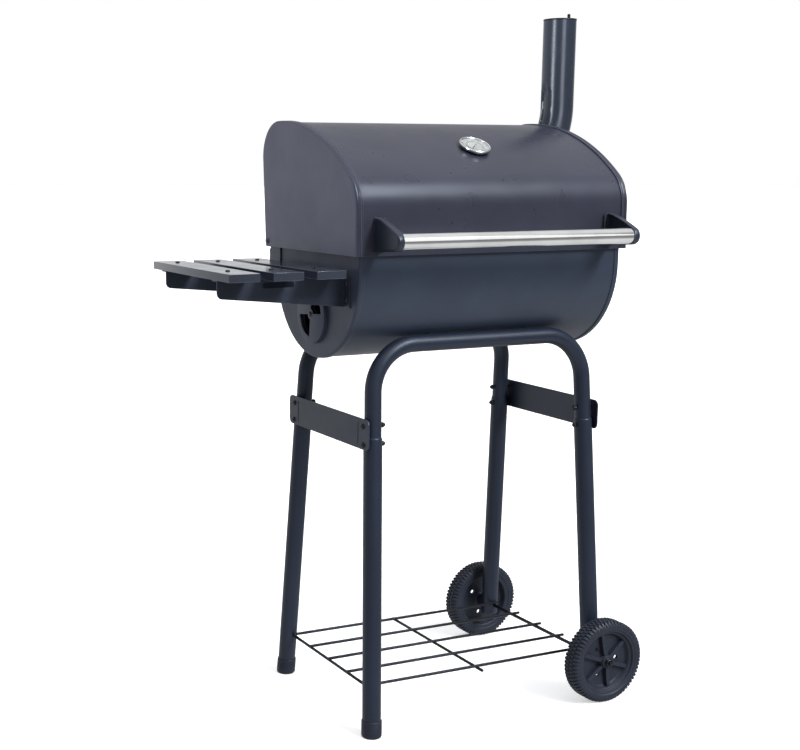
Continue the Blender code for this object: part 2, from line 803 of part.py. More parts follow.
def make_grates():
    """The cooking grate at the rim and the charcoal grate low in the bowl."""
    half_x = GRATE_HALF_X - 2.0 * MM
    make_grate("cooking_grate", half_x, 146.0 * MM, COOKING_GRATE_Z, 21, ENAMEL, 2.2 * MM)
    room = BOWL_R - 2 * SHEET - 2 * GAP
    drop = BOWL_MID_Z - CHARCOAL_GRATE_Z + 3.0 * MM
    half_y = math.sqrt(room * room - drop * drop) - 0.8 * MM
    half_x = GRATE_HALF_X - 6.0 * MM
    make_grate("charcoal_grate", half_x, half_y, CHARCOAL_GRATE_Z, 15, WIRE, 2.4 * MM)


# ---------------------------------------------------------------- side shelf

def make_shelf():
    """Three slats, each an upturned tray of folded sheet, on two tapered brackets."""
    chamfer = 1.2 * MM
    wall = 1.5 * MM
    low = SHELF_TOP_Z - SLAT_THICK
    for number in range(3):
        left = SHELF_LEFT_X + number * SLAT_PITCH
        right = left + SLAT_WIDTH
        outline = [
            (left, low),
            (right, low),
            (right, SHELF_TOP_Z - chamfer),
            (right - chamfer, SHELF_TOP_Z),
            (left + chamfer, SHELF_TOP_Z),
            (left, SHELF_TOP_Z - chamfer),
        ]
        bm = bmesh.new()
        add_prism(bm, outline, SLAT_FRONT_Y, SLAT_BACK_Y, along_y)
        slat = finish("shelf_slat_" + str(number + 1), bm, BLACK)
        hollow = [
            (left + wall, low - 5.0 * MM),
            (right - wall, low - 5.0 * MM),
            (right - wall, SHELF_TOP_Z - wall),
            (left + wall, SHELF_TOP_Z - wall),
        ]
        bm = bmesh.new()
        add_prism(bm, hollow, SLAT_FRONT_Y + wall, SLAT_BACK_Y - wall, along_y)
        boolean(slat, finish("cut_" + slat.name, bm, BLACK), "DIFFERENCE")
    for side_y, row in ((-1, "front"), (1, "rear")):
        make_shelf_bracket("shelf_bracket_" + row, side_y)


def make_shelf_bracket(name, side_y):
    """A tapered web with a top flange for the slats and an end flange for the bowl."""
    top = SHELF_TOP_Z - SLAT_THICK - GAP
    wall_x = -(BOWL_HALF_X + GAP)
    tip_x = SHELF_LEFT_X + 2.0 * MM
    web = [
        (wall_x, top),
        (tip_x, top),
        (tip_x, top - 21.5 * MM),
        (tip_x + 3.0 * MM, top - 27.5 * MM),
        (tip_x + 10.0 * MM, top - 30.5 * MM),
        (wall_x, top - 50.5 * MM),
    ]
    face = BRACKET_MID_Y + side_y * BRACKET_REACH
    back = face + BRACKET_THICK
    bm = bmesh.new()
    add_prism(bm, web, face, back, along_y)
    bracket = finish(name, bm, BLACK)
    flange = bmesh.new()
    near = face + 0.5 * MM
    far = face + 20.0 * MM
    outline = [(tip_x, near), (wall_x, near), (wall_x, far), (tip_x, far)]
    add_prism(flange, outline, top - BRACKET_THICK, top, along_z)
    boolean(bracket, finish("join_top_" + name, flange, BLACK), "UNION")
    plate = bmesh.new()
    outline = [
        (face - 22.0 * MM, top - 51.5 * MM),
        (face + 1.0 * MM, top - 51.5 * MM),
        (face + 1.0 * MM, top),
        (face - 22.0 * MM, top),
    ]
    if side_y > 0:
        outline = [(2 * face + BRACKET_THICK - u, v) for u, v in outline]
    add_prism(plate, outline, wall_x - BRACKET_THICK, wall_x, along_x)
    boolean(bracket, finish("join_end_" + name, plate, BLACK), "UNION")
    slot = bmesh.new()
    add_prism(
        slot,
        rounded_rectangle(-406.0 * MM, top - 15.5 * MM, -348.0 * MM, top - 5.5 * MM, 4.0 * MM),
        face - 5.0 * MM,
        face + 5.0 * MM,
        along_y,
    )
    boolean(bracket, finish("cut_slot_" + name, slot, BLACK), "DIFFERENCE")


# ---------------------------------------------------------------- lid

def lid_profile():
    """The lid's outer (y, z) line from the front lower edge over the top to the back."""
    corners = [
        (LID_FRONT_Y, LID_LOW_Z),
        LID_SHOULDER,
        (LID_CROWN_Y, LID_TOP_Z),
        (LID_BACK_TOP_Y, LID_TOP_Z),
        (LID_BACK_Y, LID_LOW_Z),
    ]
    corners = [Vector((0.0, *corner)) for corner in corners]
    points = [corners[0]]
    radii = (LID_SHOULDER_R, LID_CROWN_R, LID_BACK_TOP_R)
    for index, radius in enumerate(radii):
        arc = rounded_path(corners[index:index + 3], (radius,), 8)
        points += [point for point in arc[1:-1] if (point - points[-1]).length > 2.0 * MM]
    points.append(corners[-1])
    return [Vector((point.y, point.z)) for point in points]


def crown_frame():
    """The place on the lid where the thermometer sits, and the way out of the sheet."""
    reach = LID_CROWN_R * math.tan(crown_turn() / 2)
    arc_y = LID_CROWN_Y + reach
    arc_z = LID_TOP_Z - LID_CROWN_R
    out = Vector((0.0, DIAL_Y - arc_y, 0.0))
    out.z = math.sqrt(LID_CROWN_R ** 2 - out.y ** 2)
    out.normalize()
    skin = LID_CROWN_R - SHEET - GAP
    return at(DIAL_X, arc_y + out.y * skin, arc_z + out.z * skin), out


def crown_turn():
    """The angle that the crown's arc turns through."""
    slope = Vector((LID_CROWN_Y - LID_SHOULDER[0], LID_TOP_Z - LID_SHOULDER[1]))
    return math.atan2(slope.y, slope.x)


def make_lid(holder):
    """The lid's curved sheet and its two end caps."""
    outer = lid_profile()
    inner = offset_profile(outer, -SHEET)
    shell_outer = offset_profile(outer, -(SHEET + GAP))
    shell_inner = offset_profile(outer, -(2 * SHEET + GAP))
    end_x = LID_HALF_X - SHEET - GAP
    bm = bmesh.new()
    add_sheet(bm, shell_outer, shell_inner, -end_x, end_x)
    shell = finish("lid_shell", bm, BLACK, origin=holder.location, parent=holder)
    caps = {}
    for side_x, column in ((-1, "left"), (1, "right")):
        bm = bmesh.new()
        add_end_cap(bm, outer, inner, side_x * LID_HALF_X, side_x, LID_FLANGE)
        cap = finish("lid_end_" + column, bm, BLACK, origin=holder.location, parent=holder)
        start = at(side_x * (LID_HALF_X + 5.0 * MM), HINGE_Y, HINGE_Z)
        end = at(side_x * (LID_HALF_X - 5.0 * MM), HINGE_Y, HINGE_Z)
        drill(cap, start, end, HINGE_PIN_R + GAP, 10)
        cut_hinge_notch(cap, side_x)
        cut_hinge_notch(shell, side_x)
        caps[column] = cap
    return shell, caps


def cut_hinge_notch(target, side_x):
    """Cut the lid's back lower corner away where the hinge lug swings through it."""
    ends = sorted((side_x * NOTCH_INNER_X, side_x * NOTCH_OUTER_X))
    outline = [
        (HINGE_Y - 3.0 * MM, LID_LOW_Z - 5.0 * MM),
        (LID_BACK_TOP_Y + 10.0 * MM, LID_LOW_Z - 5.0 * MM),
        (LID_BACK_TOP_Y + 10.0 * MM, NOTCH_TOP_Z),
        (HINGE_Y - 3.0 * MM, NOTCH_TOP_Z),
    ]
    bm = bmesh.new()
    add_prism(bm, outline, *ends, along_x)
    boolean(target, finish("cut_notch_" + target.name, bm, BLACK), "DIFFERENCE")


def make_hinges():
    """A lug on each bowl end that reaches up behind the lid, and its shouldered pin."""
    for side_x, column in ((-1, "left"), (1, "right")):
        near = side_x * (BOWL_HALF_X + GAP)
        far = near + side_x * 2.0 * MM
        outline = [
            (132.0 * MM, 777.0 * MM),
            (170.0 * MM, 777.0 * MM),
            (176.0 * MM, 783.0 * MM),
            (176.0 * MM, 803.0 * MM),
            (172.0 * MM, 806.0 * MM),
            (173.5 * MM, 819.0 * MM),
            (168.0 * MM, 824.5 * MM),
            (162.0 * MM, 822.0 * MM),
            (158.0 * MM, 806.0 * MM),
            (132.0 * MM, 795.0 * MM),
        ]
        bm = bmesh.new()
        add_prism(bm, outline, min(near, far), max(near, far), along_x)
        lug = finish("hinge_lug_" + column, bm, BLACK)
        axis = Vector((side_x, 0.0, 0.0))
        centre = at(far + side_x * GAP, HINGE_Y, HINGE_Z)
        drill(lug, centre - axis * 8.0 * MM, centre + axis * 8.0 * MM, HINGE_PIN_R + GAP, 10)
        shoulder = LID_HALF_X - SHEET - GAP - abs(far) - GAP
        outside = shoulder + SHEET + 2 * GAP
        inside = -(2.0 * MM + 2 * GAP)
        profile = [
            (0.0, inside - 6.0 * MM),
            (HINGE_PIN_R, inside - 6.0 * MM),
            (HINGE_PIN_R, inside - 4.0 * MM),
            (5.2 * MM, inside - 4.0 * MM),
            (5.2 * MM, inside),
            (HINGE_PIN_R, inside),
            (HINGE_PIN_R, 0.0),
            (5.0 * MM, 0.0),
            (5.0 * MM, shoulder),
            (HINGE_PIN_R, shoulder),
            (HINGE_PIN_R, outside),
            (5.5 * MM, outside),
            (4.0 * MM, outside + 2.4 * MM),
            (0.0, outside + 2.8 * MM),
        ]
        bm = bmesh.new()
        add_turned(bm, profile, centre, axis, 12)
        finish("hinge_pin_" + column, bm, ZINC)


def make_handle(holder):
    """The polished bar between two cupped brackets on the lid's front."""
    wall = LID_FRONT_Y - GAP
    low, high = 815.0 * MM, 870.6 * MM
    edge = [Vector((wall, low))]
    for step in range(9):
        angle = math.radians(265 - 18.75 * step)
        edge.append(Vector((HANDLE_Y + CUP_R * math.cos(angle), HANDLE_Z + CUP_R * math.sin(angle))))
    for y, z in ((-210.5, 854.8), (-201.5, 858.6), (-192.0, 862.3), (-182.0, 865.8), (-171.5, 868.8)):
        edge.append(Vector((y * MM, z * MM)))
    edge.append(Vector((wall, high)))
    inner = offset_profile(edge, -CUP_SHEET)
    inner[0] = Vector((wall, low + CUP_SHEET))
    inner[-1] = Vector((wall, high - CUP_SHEET))
    for side_x, column in ((-1, "left"), (1, "right")):
        near = side_x * (HANDLE_HALF_X + GAP)
        far = near + side_x * 2.0 * MM
        bm = bmesh.new()
        add_prism(bm, [tuple(point) for point in edge], min(near, far), max(near, far), along_x)
        bracket = finish("handle_bracket_" + column, bm, BLACK, origin=holder.location, parent=holder)
        # The cup's wall runs round the bar's end and back to the lid.
        cup_ends = sorted((near - side_x * CUP_DEPTH, far - side_x * 0.5 * MM))
        bm = bmesh.new()
        ring = [tuple(point) for point in edge + list(reversed(inner))]
        add_prism(bm, ring, *cup_ends, along_x)
        boolean(bracket, finish("join_cup_" + column, bm, BLACK), "UNION")
        bm = bmesh.new()
        foot = [
            (near + side_x * 0.5 * MM, low + 0.4 * MM),
            (near - side_x * 16.0 * MM, low + 0.4 * MM),
            (near - side_x * 16.0 * MM, high - 0.4 * MM),
            (near + side_x * 0.5 * MM, high - 0.4 * MM),
        ]
        add_prism(bm, foot, wall - 2.0 * MM, wall, along_y)
        boolean(bracket, finish("join_foot_" + column, bm, BLACK), "UNION")
    bm = bmesh.new()
    ends = [at(-HANDLE_HALF_X, HANDLE_Y, HANDLE_Z), at(HANDLE_HALF_X, HANDLE_Y, HANDLE_Z)]
    add_tube(bm, ends, HANDLE_R, HANDLE_R - 1.2 * MM, 24)
    finish("handle_bar", bm, CHROME, origin=holder.location, parent=holder)


def make_thermometer(holder, shell):
    """A round case with its stem, nut, dial, needle and glass."""
    seat, out = crown_frame()
    origin = holder.location

    def turned(name, profile, material, sides=24):
        bm = bmesh.new()
        add_turned(bm, profile, seat, out, sides)
        finish(name, bm, material, origin=origin, parent=holder)

    drill(shell, seat - out * 10.0 * MM, seat + out * 10.0 * MM, 4.5 * MM, 16)
    case = [
        (0.0, -52.0 * MM),
        (2.6 * MM, -52.0 * MM),
        (2.6 * MM, -16.0 * MM),
        (4.0 * MM, -16.0 * MM),
        (4.0 * MM, 0.8 * MM),
        (19.0 * MM, 0.8 * MM),
        (DIAL_R - 2.0 * MM, 3.0 * MM),
        (DIAL_R, 6.0 * MM),
        (DIAL_R, 10.0 * MM),
        (DIAL_R - 1.5 * MM, 11.5 * MM),
        (DIAL_R - 3.0 * MM, 11.0 * MM),
        (DIAL_R - 3.0 * MM, 4.5 * MM),
        (0.0, 4.5 * MM),
    ]
    turned("thermometer_case", case, CHROME)
    under = -SHEET - 4 * GAP
    nut = [
        (4.0 * MM + GAP, under - 5.0 * MM),
        (8.5 * MM, under - 5.0 * MM),
        (8.5 * MM, under),
        (4.0 * MM + GAP, under),
    ]
    turned("thermometer_nut", nut, ZINC, 12)
    dial_r = DIAL_R - 3.0 * MM - GAP
    dial_low = 4.5 * MM + GAP
    dial_high = dial_low + 0.6 * MM
    lens_low = 9.2 * MM
    lens_high = lens_low + 1.4 * MM

    def disc(name, low, high, material):
        profile = [(0.0, low), (dial_r, low), (dial_r, high), (0.0, high)]
        turned(name, profile, material)

    disc("thermometer_dial", dial_low, dial_high, DIAL_WHITE)
    disc("thermometer_lens", lens_low, lens_high, GLASS)
    along = Vector((1.0, 0.0, 0.0))
    up = out.cross(along)
    needle_low = dial_high + 0.5 * MM
    upper = [(-8.0 * MM, 1.6 * MM), (0.0, 2.4 * MM), (19.0 * MM, 0.5 * MM)]
    outline = upper + [(u, -v) for u, v in reversed(upper)]

    def on_dial(u, v, w):
        """Lie along the dial, turned to the cold end of its scale."""
        turn = Matrix.Rotation(math.radians(225), 3, out)
        return seat + turn @ (along * u + up * v) + out * w

    bm = bmesh.new()
    add_prism(bm, outline, needle_low, needle_low + 0.8 * MM, on_dial)
    finish("thermometer_needle", bm, NEEDLE_RED, origin=seat, parent=holder)


# ---------------------------------------------------------------- chimney

def chimney_path():
    """The pipe's middle line: upright, then bent towards the lid's right end."""
    steps = 6
    path = [at(CHIMNEY_X, CHIMNEY_Y, CHIMNEY_TOP_Z)]
    for step in range(steps + 1):
        angle = CHIMNEY_TURN * step / steps
        x = CHIMNEY_X - CHIMNEY_BEND_R * (1.0 - math.cos(angle))
        path.append(at(x, CHIMNEY_Y, CHIMNEY_BEND_Z - CHIMNEY_BEND_R * math.sin(angle)))
    return path


def make_chimney(holder, cap):
    """The bent pipe, the hole it enters by, and the turning flap on its top."""
    bm = bmesh.new()
    path = chimney_path()
    way = Vector((-math.sin(CHIMNEY_TURN), 0.0, -math.cos(CHIMNEY_TURN)))
    path.append(path[-1] + way * 3.0 * MM)
    cut_x = CENTRE_X + LID_HALF_X - 5.0 * MM
    add_tube(bm, path, CHIMNEY_R, CHIMNEY_R - CHIMNEY_WALL, 24, cut_x)
    pipe = finish("chimney_pipe", bm, GLOSS, origin=holder.location, parent=holder)
    run = (path[-1].x - CENTRE_X - LID_HALF_X) / math.tan(CHIMNEY_TURN)
    middle_z = path[-1].z - run
    wide = CHIMNEY_R + 2 * GAP
    tall = CHIMNEY_R / math.sin(CHIMNEY_TURN) + SHEET + 2 * GAP
    hole = [(CHIMNEY_Y + wide * u, middle_z + tall * v) for u, v in circle(1.0, 32)]
    bm = bmesh.new()
    add_prism(bm, hole, LID_HALF_X - 5.0 * MM, LID_HALF_X + 5.0 * MM, along_x)
    boolean(cap, finish("cut_chimney_hole", bm, GLOSS), "DIFFERENCE", "MANIFOLD")
    tab_x = CHIMNEY_X + FLAP_PIVOT
    tab_top = CHIMNEY_TOP_Z - 4.0 * MM
    outline = [
        (tab_x - 7.0 * MM, CHIMNEY_Y - 6.0 * MM),
        (CHIMNEY_X + CHIMNEY_R - 0.6 * MM, CHIMNEY_Y - 6.0 * MM),
        (CHIMNEY_X + CHIMNEY_R - 0.6 * MM, CHIMNEY_Y + 6.0 * MM),
        (tab_x - 7.0 * MM, CHIMNEY_Y + 6.0 * MM),
    ]
    bm = bmesh.new()
    add_prism(bm, outline, tab_top - 2.0 * MM, tab_top, along_z)
    boolean(pipe, finish("join_flap_tab", bm, GLOSS), "UNION")
    axis = at(tab_x, CHIMNEY_Y, CHIMNEY_TOP_Z)
    up = Vector((0.0, 0.0, 1.0))
    drill(pipe, axis - up * 10.0 * MM, axis + up * 2.0 * MM, 2.3 * MM + GAP, 12)
    bm = bmesh.new()
    disc = circle(FLAP_R, 32, (CHIMNEY_X, CHIMNEY_Y))
    add_prism(bm, disc, CHIMNEY_TOP_Z + GAP, CHIMNEY_TOP_Z + 1.8 * MM, along_z)
    flap = finish("chimney_flap", bm, GLOSS, origin=axis, parent=holder)
    stem = [
        (0.0, -9.5 * MM),
        (2.3 * MM, -9.5 * MM),
        (2.3 * MM, 1.0 * MM),
        (5.0 * MM, 1.0 * MM),
        (5.0 * MM, 5.5 * MM),
        (2.8 * MM, 5.5 * MM),
        (2.8 * MM, 13.4 * MM),
        (0.0, 14.0 * MM),
    ]
    bm = bmesh.new()
    add_turned(bm, stem, axis, up, 12)
    boolean(flap, finish("join_flap_stem", bm, ZINC), "UNION")


# ---------------------------------------------------------------- build

def main():
    """Build every piece of the grill."""
    tubes, legs = make_stand()
    make_axle(legs)
    make_wheels()
    make_bottom_rack(legs)
    shell, caps = make_bowl()
    bolt_bowl_to_stand(shell, tubes)
    make_damper(caps["left"])
    make_ledges()
    make_grates()
    make_shelf()
    make_hinges()
    holder = pivot("lid_pivot", at(0.0, HINGE_Y, HINGE_Z))
    lid_shell, lid_caps = make_lid(holder)
    make_handle(holder)
    make_thermometer(holder, lid_shell)
    make_chimney(holder, lid_caps["right"])


clear_scene()
main()
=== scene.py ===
# Barrel charcoal grill: its looks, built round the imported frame. Metres, +Z up, -Y is the front.
# Sizes of the grill are written in millimetres from the stand's middle, and turned into metres by at() or MM.

import json
import math

import bpy
import bmesh
from mathutils import Matrix, Vector

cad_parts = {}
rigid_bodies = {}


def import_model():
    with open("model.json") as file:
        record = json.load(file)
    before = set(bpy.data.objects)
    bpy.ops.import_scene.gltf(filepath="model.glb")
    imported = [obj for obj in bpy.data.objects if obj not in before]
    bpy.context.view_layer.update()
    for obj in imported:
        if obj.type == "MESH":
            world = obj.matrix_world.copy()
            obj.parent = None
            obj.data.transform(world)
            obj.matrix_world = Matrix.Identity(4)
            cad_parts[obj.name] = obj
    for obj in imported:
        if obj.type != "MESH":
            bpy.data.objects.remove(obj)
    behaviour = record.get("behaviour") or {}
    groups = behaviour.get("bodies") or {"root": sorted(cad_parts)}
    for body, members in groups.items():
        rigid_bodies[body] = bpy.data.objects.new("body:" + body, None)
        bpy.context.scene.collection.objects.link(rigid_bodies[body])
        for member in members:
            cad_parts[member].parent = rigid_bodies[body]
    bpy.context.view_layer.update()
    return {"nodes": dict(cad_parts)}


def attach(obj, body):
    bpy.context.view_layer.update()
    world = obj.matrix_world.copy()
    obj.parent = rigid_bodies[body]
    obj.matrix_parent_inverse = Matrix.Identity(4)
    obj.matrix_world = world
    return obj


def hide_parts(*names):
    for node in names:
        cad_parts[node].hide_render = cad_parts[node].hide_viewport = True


for leftover in list(bpy.data.objects):
    bpy.data.objects.remove(leftover, do_unlink=True)

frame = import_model()

MM = 0.001
# The stand's middle in the grill's frame.
OX = 68.5 * MM
OY = 9.32 * MM
ENDS = ((-1, "left"), (1, "right"))
ROWS = ((-1, "front"), (1, "rear"))
UP = (0, 0, 1)


def at(x, y, z):
    """A point given in millimetres from the stand's middle."""
    return Vector((OX + x * MM, OY + y * MM, z * MM))


# ---------------------------------------------------------------- materials

def feed(node, inputs):
    """Set a node's inputs, or link them where the value is a socket."""
    for key, value in inputs.items():
        if isinstance(value, bpy.types.NodeSocket):
            node.id_data.links.new(value, node.inputs[key])
        else:
            node.inputs[key].default_value = value


def add_node(tree, kind, inputs):
    node = tree.nodes.new("ShaderNode" + kind)
    feed(node, inputs)
    return node


def new_material(name):
    material = bpy.data.materials.new(name)
    material.use_nodes = True
    tree = material.node_tree
    tree.nodes.clear()
    shader = add_node(tree, "BsdfPrincipled", {})
    add_node(tree, "OutputMaterial", {"Surface": shader.outputs["BSDF"]})
    return material, shader, add_node(tree, "TexCoord", {}).outputs["Object"]


def noise(coords, scale, detail=2.0, rough=0.5):
    inputs = {"Vector": coords, "Scale": scale, "Detail": detail, "Roughness": rough}
    return add_node(coords.id_data, "TexNoise", inputs).outputs["Fac"]


def spread(value, out_low=0.0, out_high=1.0, low=0.3, high=0.7):
    """Stretch the range low..high of a value to out_low..out_high."""
    inputs = {"Value": value, "From Min": low, "From Max": high, "To Min": out_low, "To Max": out_high}
    return add_node(value.id_data, "MapRange", inputs).outputs["Result"]


def mix_colour(share, first, second):
    node = share.id_data.nodes.new("ShaderNodeMix")
    node.data_type = "RGBA"
    first, second = ((*colour, 1.0) if isinstance(colour, tuple) else colour for colour in (first, second))
    feed(node, {0: share, 6: first, 7: second})
    return node.outputs[2]


def vector_math(tree, operation, inputs):
    node = add_node(tree, "VectorMath", {})
    node.operation = operation
    feed(node, inputs)
    return node.outputs


def scaled(colour, factor):
    return tuple(min(1.0, part * factor) for part in colour)


def edge_share(tree):
    """1 on sharp edges and 0 on faces, from how far the surface bends nearby; the paints use it to make edges paler,
    partly as wear and partly as a painted highlight along the edges.
    """
    bevel = add_node(tree, "Bevel", {"Radius": 0.0012})
    bevel.samples = 4
    geometry = add_node(tree, "NewGeometry", {})
    dot = vector_math(tree, "DOT_PRODUCT", {0: bevel.outputs["Normal"], 1: geometry.outputs["Normal"]})
    return spread(dot["Value"], low=0.985, high=0.86)


def bumps(shader, heights):
    """Chain bump nodes; heights is a list of (socket, distance in metres, strength)."""
    chain = {}
    for value, distance, strength in heights:
        node = add_node(value.id_data, "Bump", {"Strength": strength, "Distance": distance, "Height": value, **chain})
        chain = {"Normal": node.outputs["Normal"]}
    feed(shader, chain)


def paint(name, colour, edge_wear_and_sheen_colour, rough, specular, peel=0.00012, grain=1.0):
    """Powder coat: cloudy tone, orange peel, fine grain, and paler edges that are partly wear and partly a painted
    highlight.
    """
    material, shader, coords = new_material(name)
    cloud = spread(noise(coords, 7.0, 4.0, 0.6))
    body = mix_colour(cloud, scaled(colour, 0.86), scaled(colour, 1.14))
    feed(shader, {
        # Edges lean towards the pale edge colour: partly wear, partly a painted highlight along the edges.
        "Base Color": mix_colour(edge_share(coords.id_data), body, edge_wear_and_sheen_colour),
        "Roughness": spread(noise(coords, 22.0, 3.0), rough - 0.035, rough + 0.035),
        "Specular IOR Level": specular,
        "Specular Tint": (0.80, 0.88, 1.0, 1.0),
    })
    fine = noise(coords, 420.0)
    speck = noise(coords, 1900.0, 1.0)
    bumps(shader, [(fine, peel, 0.22 * grain), (speck, peel * 0.4, 0.25 * grain)])
    return material


def metal(name, colour, rough, brush_axis=None, strength=0.15):
    """Bare metal with faint drawn lines along one axis."""
    material, shader, coords = new_material(name)
    stretch = [900.0, 900.0, 900.0]
    if brush_axis is not None:
        stretch[brush_axis] = 6.0
    mapping = add_node(coords.id_data, "Mapping", {"Vector": coords, "Scale": stretch})
    lines = noise(mapping.outputs["Vector"], 1.0, 3.0)
    stain = spread(noise(coords, 16.0, 3.0), low=0.35)
    feed(shader, {
        "Base Color": mix_colour(stain, colour, scaled(colour, 0.88)),
        "Metallic": 1.0,
        "Roughness": spread(lines, rough * 0.8, rough * 1.25),
    })
    bumps(shader, [(lines, 0.00003, strength)])
    return material


def plastic(name, colour, rough):
    """Moulded plastic: spark texture, slight flow marks and pale edges that are partly rubbed wear and partly a painted
    highlight.
    """
    material, shader, coords = new_material(name)
    spark = noise(coords, 1300.0)
    body = mix_colour(spread(noise(coords, 30.0, 3.0)), scaled(colour, 0.85), colour)
    feed(shader, {
        # Edges lighten towards 1.9 times the colour: partly rubbed wear, partly a painted highlight.
        "Base Color": mix_colour(edge_share(coords.id_data), body, scaled(colour, 1.9)),
        "Roughness": spread(spark, rough - 0.06, rough + 0.06),
        "Specular IOR Level": 0.35,
    })
    bumps(shader, [(spark, 0.00008, 0.3)])
    return material


def make_dial_paint():
    """A silvery dial face."""
    material, shader, coords = new_material("dial_paint")
    grain = noise(coords, 2400.0)
    sweep = spread(noise(coords, 60.0))
    feed(shader, {
        "Base Color": mix_colour(sweep, (0.72, 0.74, 0.74), (0.86, 0.87, 0.87)),
        "Metallic": 0.35,
        "Roughness": spread(grain, 0.3, 0.42),
    })
    bumps(shader, [(grain, 0.00003, 0.2)])
    return material


def ink(name, colour):
    """Printed ink, slightly uneven."""
    material, shader, coords = new_material(name)
    spot = noise(coords, 900.0)
    feed(shader, {
        "Base Color": mix_colour(spread(spot), scaled(colour, 0.8), colour),
        "Roughness": spread(spot, 0.4, 0.5),
    })
    bumps(shader, [(spot, 0.00002, 0.2)])
    return material


def make_glass():
    """Thin clear dial glass."""
    material, shader, coords = new_material("dial_glass")
    haze = noise(coords, 300.0)
    feed(shader, {
        "Base Color": (0.97, 0.98, 0.98, 1.0),
        "Transmission Weight": 1.0,
        "IOR": 1.45,
        "Roughness": spread(haze, 0.01, 0.04),
    })
    bumps(shader, [(haze, 0.00001, 0.1)])
    return material


# Each finish is a material and the part's slot that it stands for.
BARREL, STAND_SLOT, STEEL_SLOT, DIAL_SLOT = "barrel_paint", "stand_paint", "polished_steel", "dial_paint"
# The second colour of each paint is its pale edge colour: partly wear, partly a painted edge highlight.
LID_PAINT = paint("lid_powder_coat", (0.038, 0.039, 0.060), (0.11, 0.12, 0.16), 0.30, 0.45), BARREL
# Lighter copy of the barrel paint for the lid's ends: painted light from the side, about 2.7 times the lid sheet's
# colour.
LIT_END_PAINT = paint("end_coat_painted_light", (0.104, 0.109, 0.168), (0.15, 0.155, 0.22), 0.42, 0.55), BARREL
BOWL_PAINT = paint("bowl_powder_coat", (0.038, 0.050, 0.080), (0.12, 0.13, 0.17), 0.40, 0.5), BARREL
LEG_PAINT = paint("leg_powder_coat", (0.016, 0.022, 0.041), (0.06, 0.07, 0.10), 0.40, 0.5), STAND_SLOT
SHELF_PAINT = paint("shelf_powder_coat", (0.034, 0.040, 0.060), (0.20, 0.21, 0.25), 0.14, 0.8, 0.00003), BARREL
GLOSS_PAINT = paint("chimney_enamel", (0.020, 0.026, 0.040), (0.04, 0.05, 0.06), 0.26, 0.6, 0.0, 0.0), "chimney_gloss"
FLAP_PAINT = paint("flap_enamel", (0.006, 0.007, 0.010), (0.02, 0.02, 0.025), 0.35, 0.4), "chimney_gloss"
WIRE_PAINT = paint("wire_coating", (0.006, 0.006, 0.008), (0.02, 0.02, 0.025), 0.40, 0.35), "black_wire"
ENAMEL = paint("grate_enamel", (0.018, 0.018, 0.02), (0.05, 0.05, 0.05), 0.28, 0.5), "grate_enamel"
POLISHED = metal("polished_tube", (0.83, 0.83, 0.82), 0.10, 0, 0.08), STEEL_SLOT
CHROME = metal("dial_chrome", (0.80, 0.80, 0.80), 0.10), STEEL_SLOT
BLACK_STEEL = metal("black_zinc", (0.055, 0.056, 0.062), 0.36, None, 0.3), "black_steel"
WHEEL_PLASTIC = plastic("wheel_plastic", (0.022, 0.028, 0.045), 0.48), "wheel_plastic"
CAP_PLASTIC = plastic("foot_plastic", (0.017, 0.022, 0.038), 0.45), "foot_plastic"
DIAL_PAINT = make_dial_paint(), DIAL_SLOT
BLACK_INK = ink("scale_ink", (0.02, 0.02, 0.022)), DIAL_SLOT
GREY_INK = ink("zone_ink", (0.42, 0.45, 0.45)), DIAL_SLOT
NEEDLE_INK = ink("needle_paint", (0.05, 0.05, 0.055)), "needle_paint"
GLASS = make_glass(), "dial_glass"
# Lighter copy of the bowl's paint for the bowl's ends and the air damper: painted light that lifts them out of the
# shade under the shelf.
LIT_BOWL_END_PAINT = paint("bowl_end_coat_painted_light", (0.048, 0.058, 0.092), (0.13, 0.14, 0.19), 0.45, 0.42), BARREL
BRACKET_PAINT = paint("bracket_powder_coat", (0.029, 0.036, 0.056), (0.10, 0.11, 0.14), 0.42, 0.42), BARREL
CUP_PAINT = paint("cup_powder_coat", (0.022, 0.027, 0.044), (0.20, 0.21, 0.26), 0.36, 0.55), BARREL


# ---------------------------------------------------------------- mesh helpers

def link(obj):
    bpy.context.scene.collection.objects.link(obj)
    return obj


def new_object(bm, name="tool"):
    """Clean a bmesh and make an object of it; without a name it is a loose tool to cut with."""
    bmesh.ops.remove_doubles(bm, verts=bm.verts, dist=2e-6)
    bmesh.ops.recalc_face_normals(bm, faces=bm.faces)
    mesh = bpy.data.meshes.new(name)
    bm.to_mesh(mesh)
    bm.free()
    return link(bpy.data.objects.new(name, mesh))


def soften(obj, angle=30):
    """Smooth shading that breaks at edges sharper than an angle in degrees."""
    obj.data.shade_smooth()
    obj.data.set_sharp_from_angle(angle=math.radians(angle))


def put(name, bm, finish, body="stand", replaces=(), angle=32.0, bevel=0.0, segments=2, smooth=True):
    """Turn a bmesh into a piece that rides on a body."""
    material, slot = finish
    obj = new_object(bm, name)
    obj.data.materials.append(material)
    if smooth:
        soften(obj, angle)
    if bevel:
        round_edges(obj, bevel, segments, angle)
    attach(obj, body)
    if replaces:
        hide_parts(*replaces)
    return obj


def round_edges(obj, width, segments=2, angle=32.0):
    """Round the sharp edges and keep the flat faces flat."""
    modifier = obj.modifiers.new("round", "BEVEL")
    modifier.width = width
    modifier.segments = segments
    modifier.limit_method = "ANGLE"
    modifier.angle_limit = math.radians(angle)
    modifier.harden_normals = True
    modifier.miter_outer = "MITER_ARC"


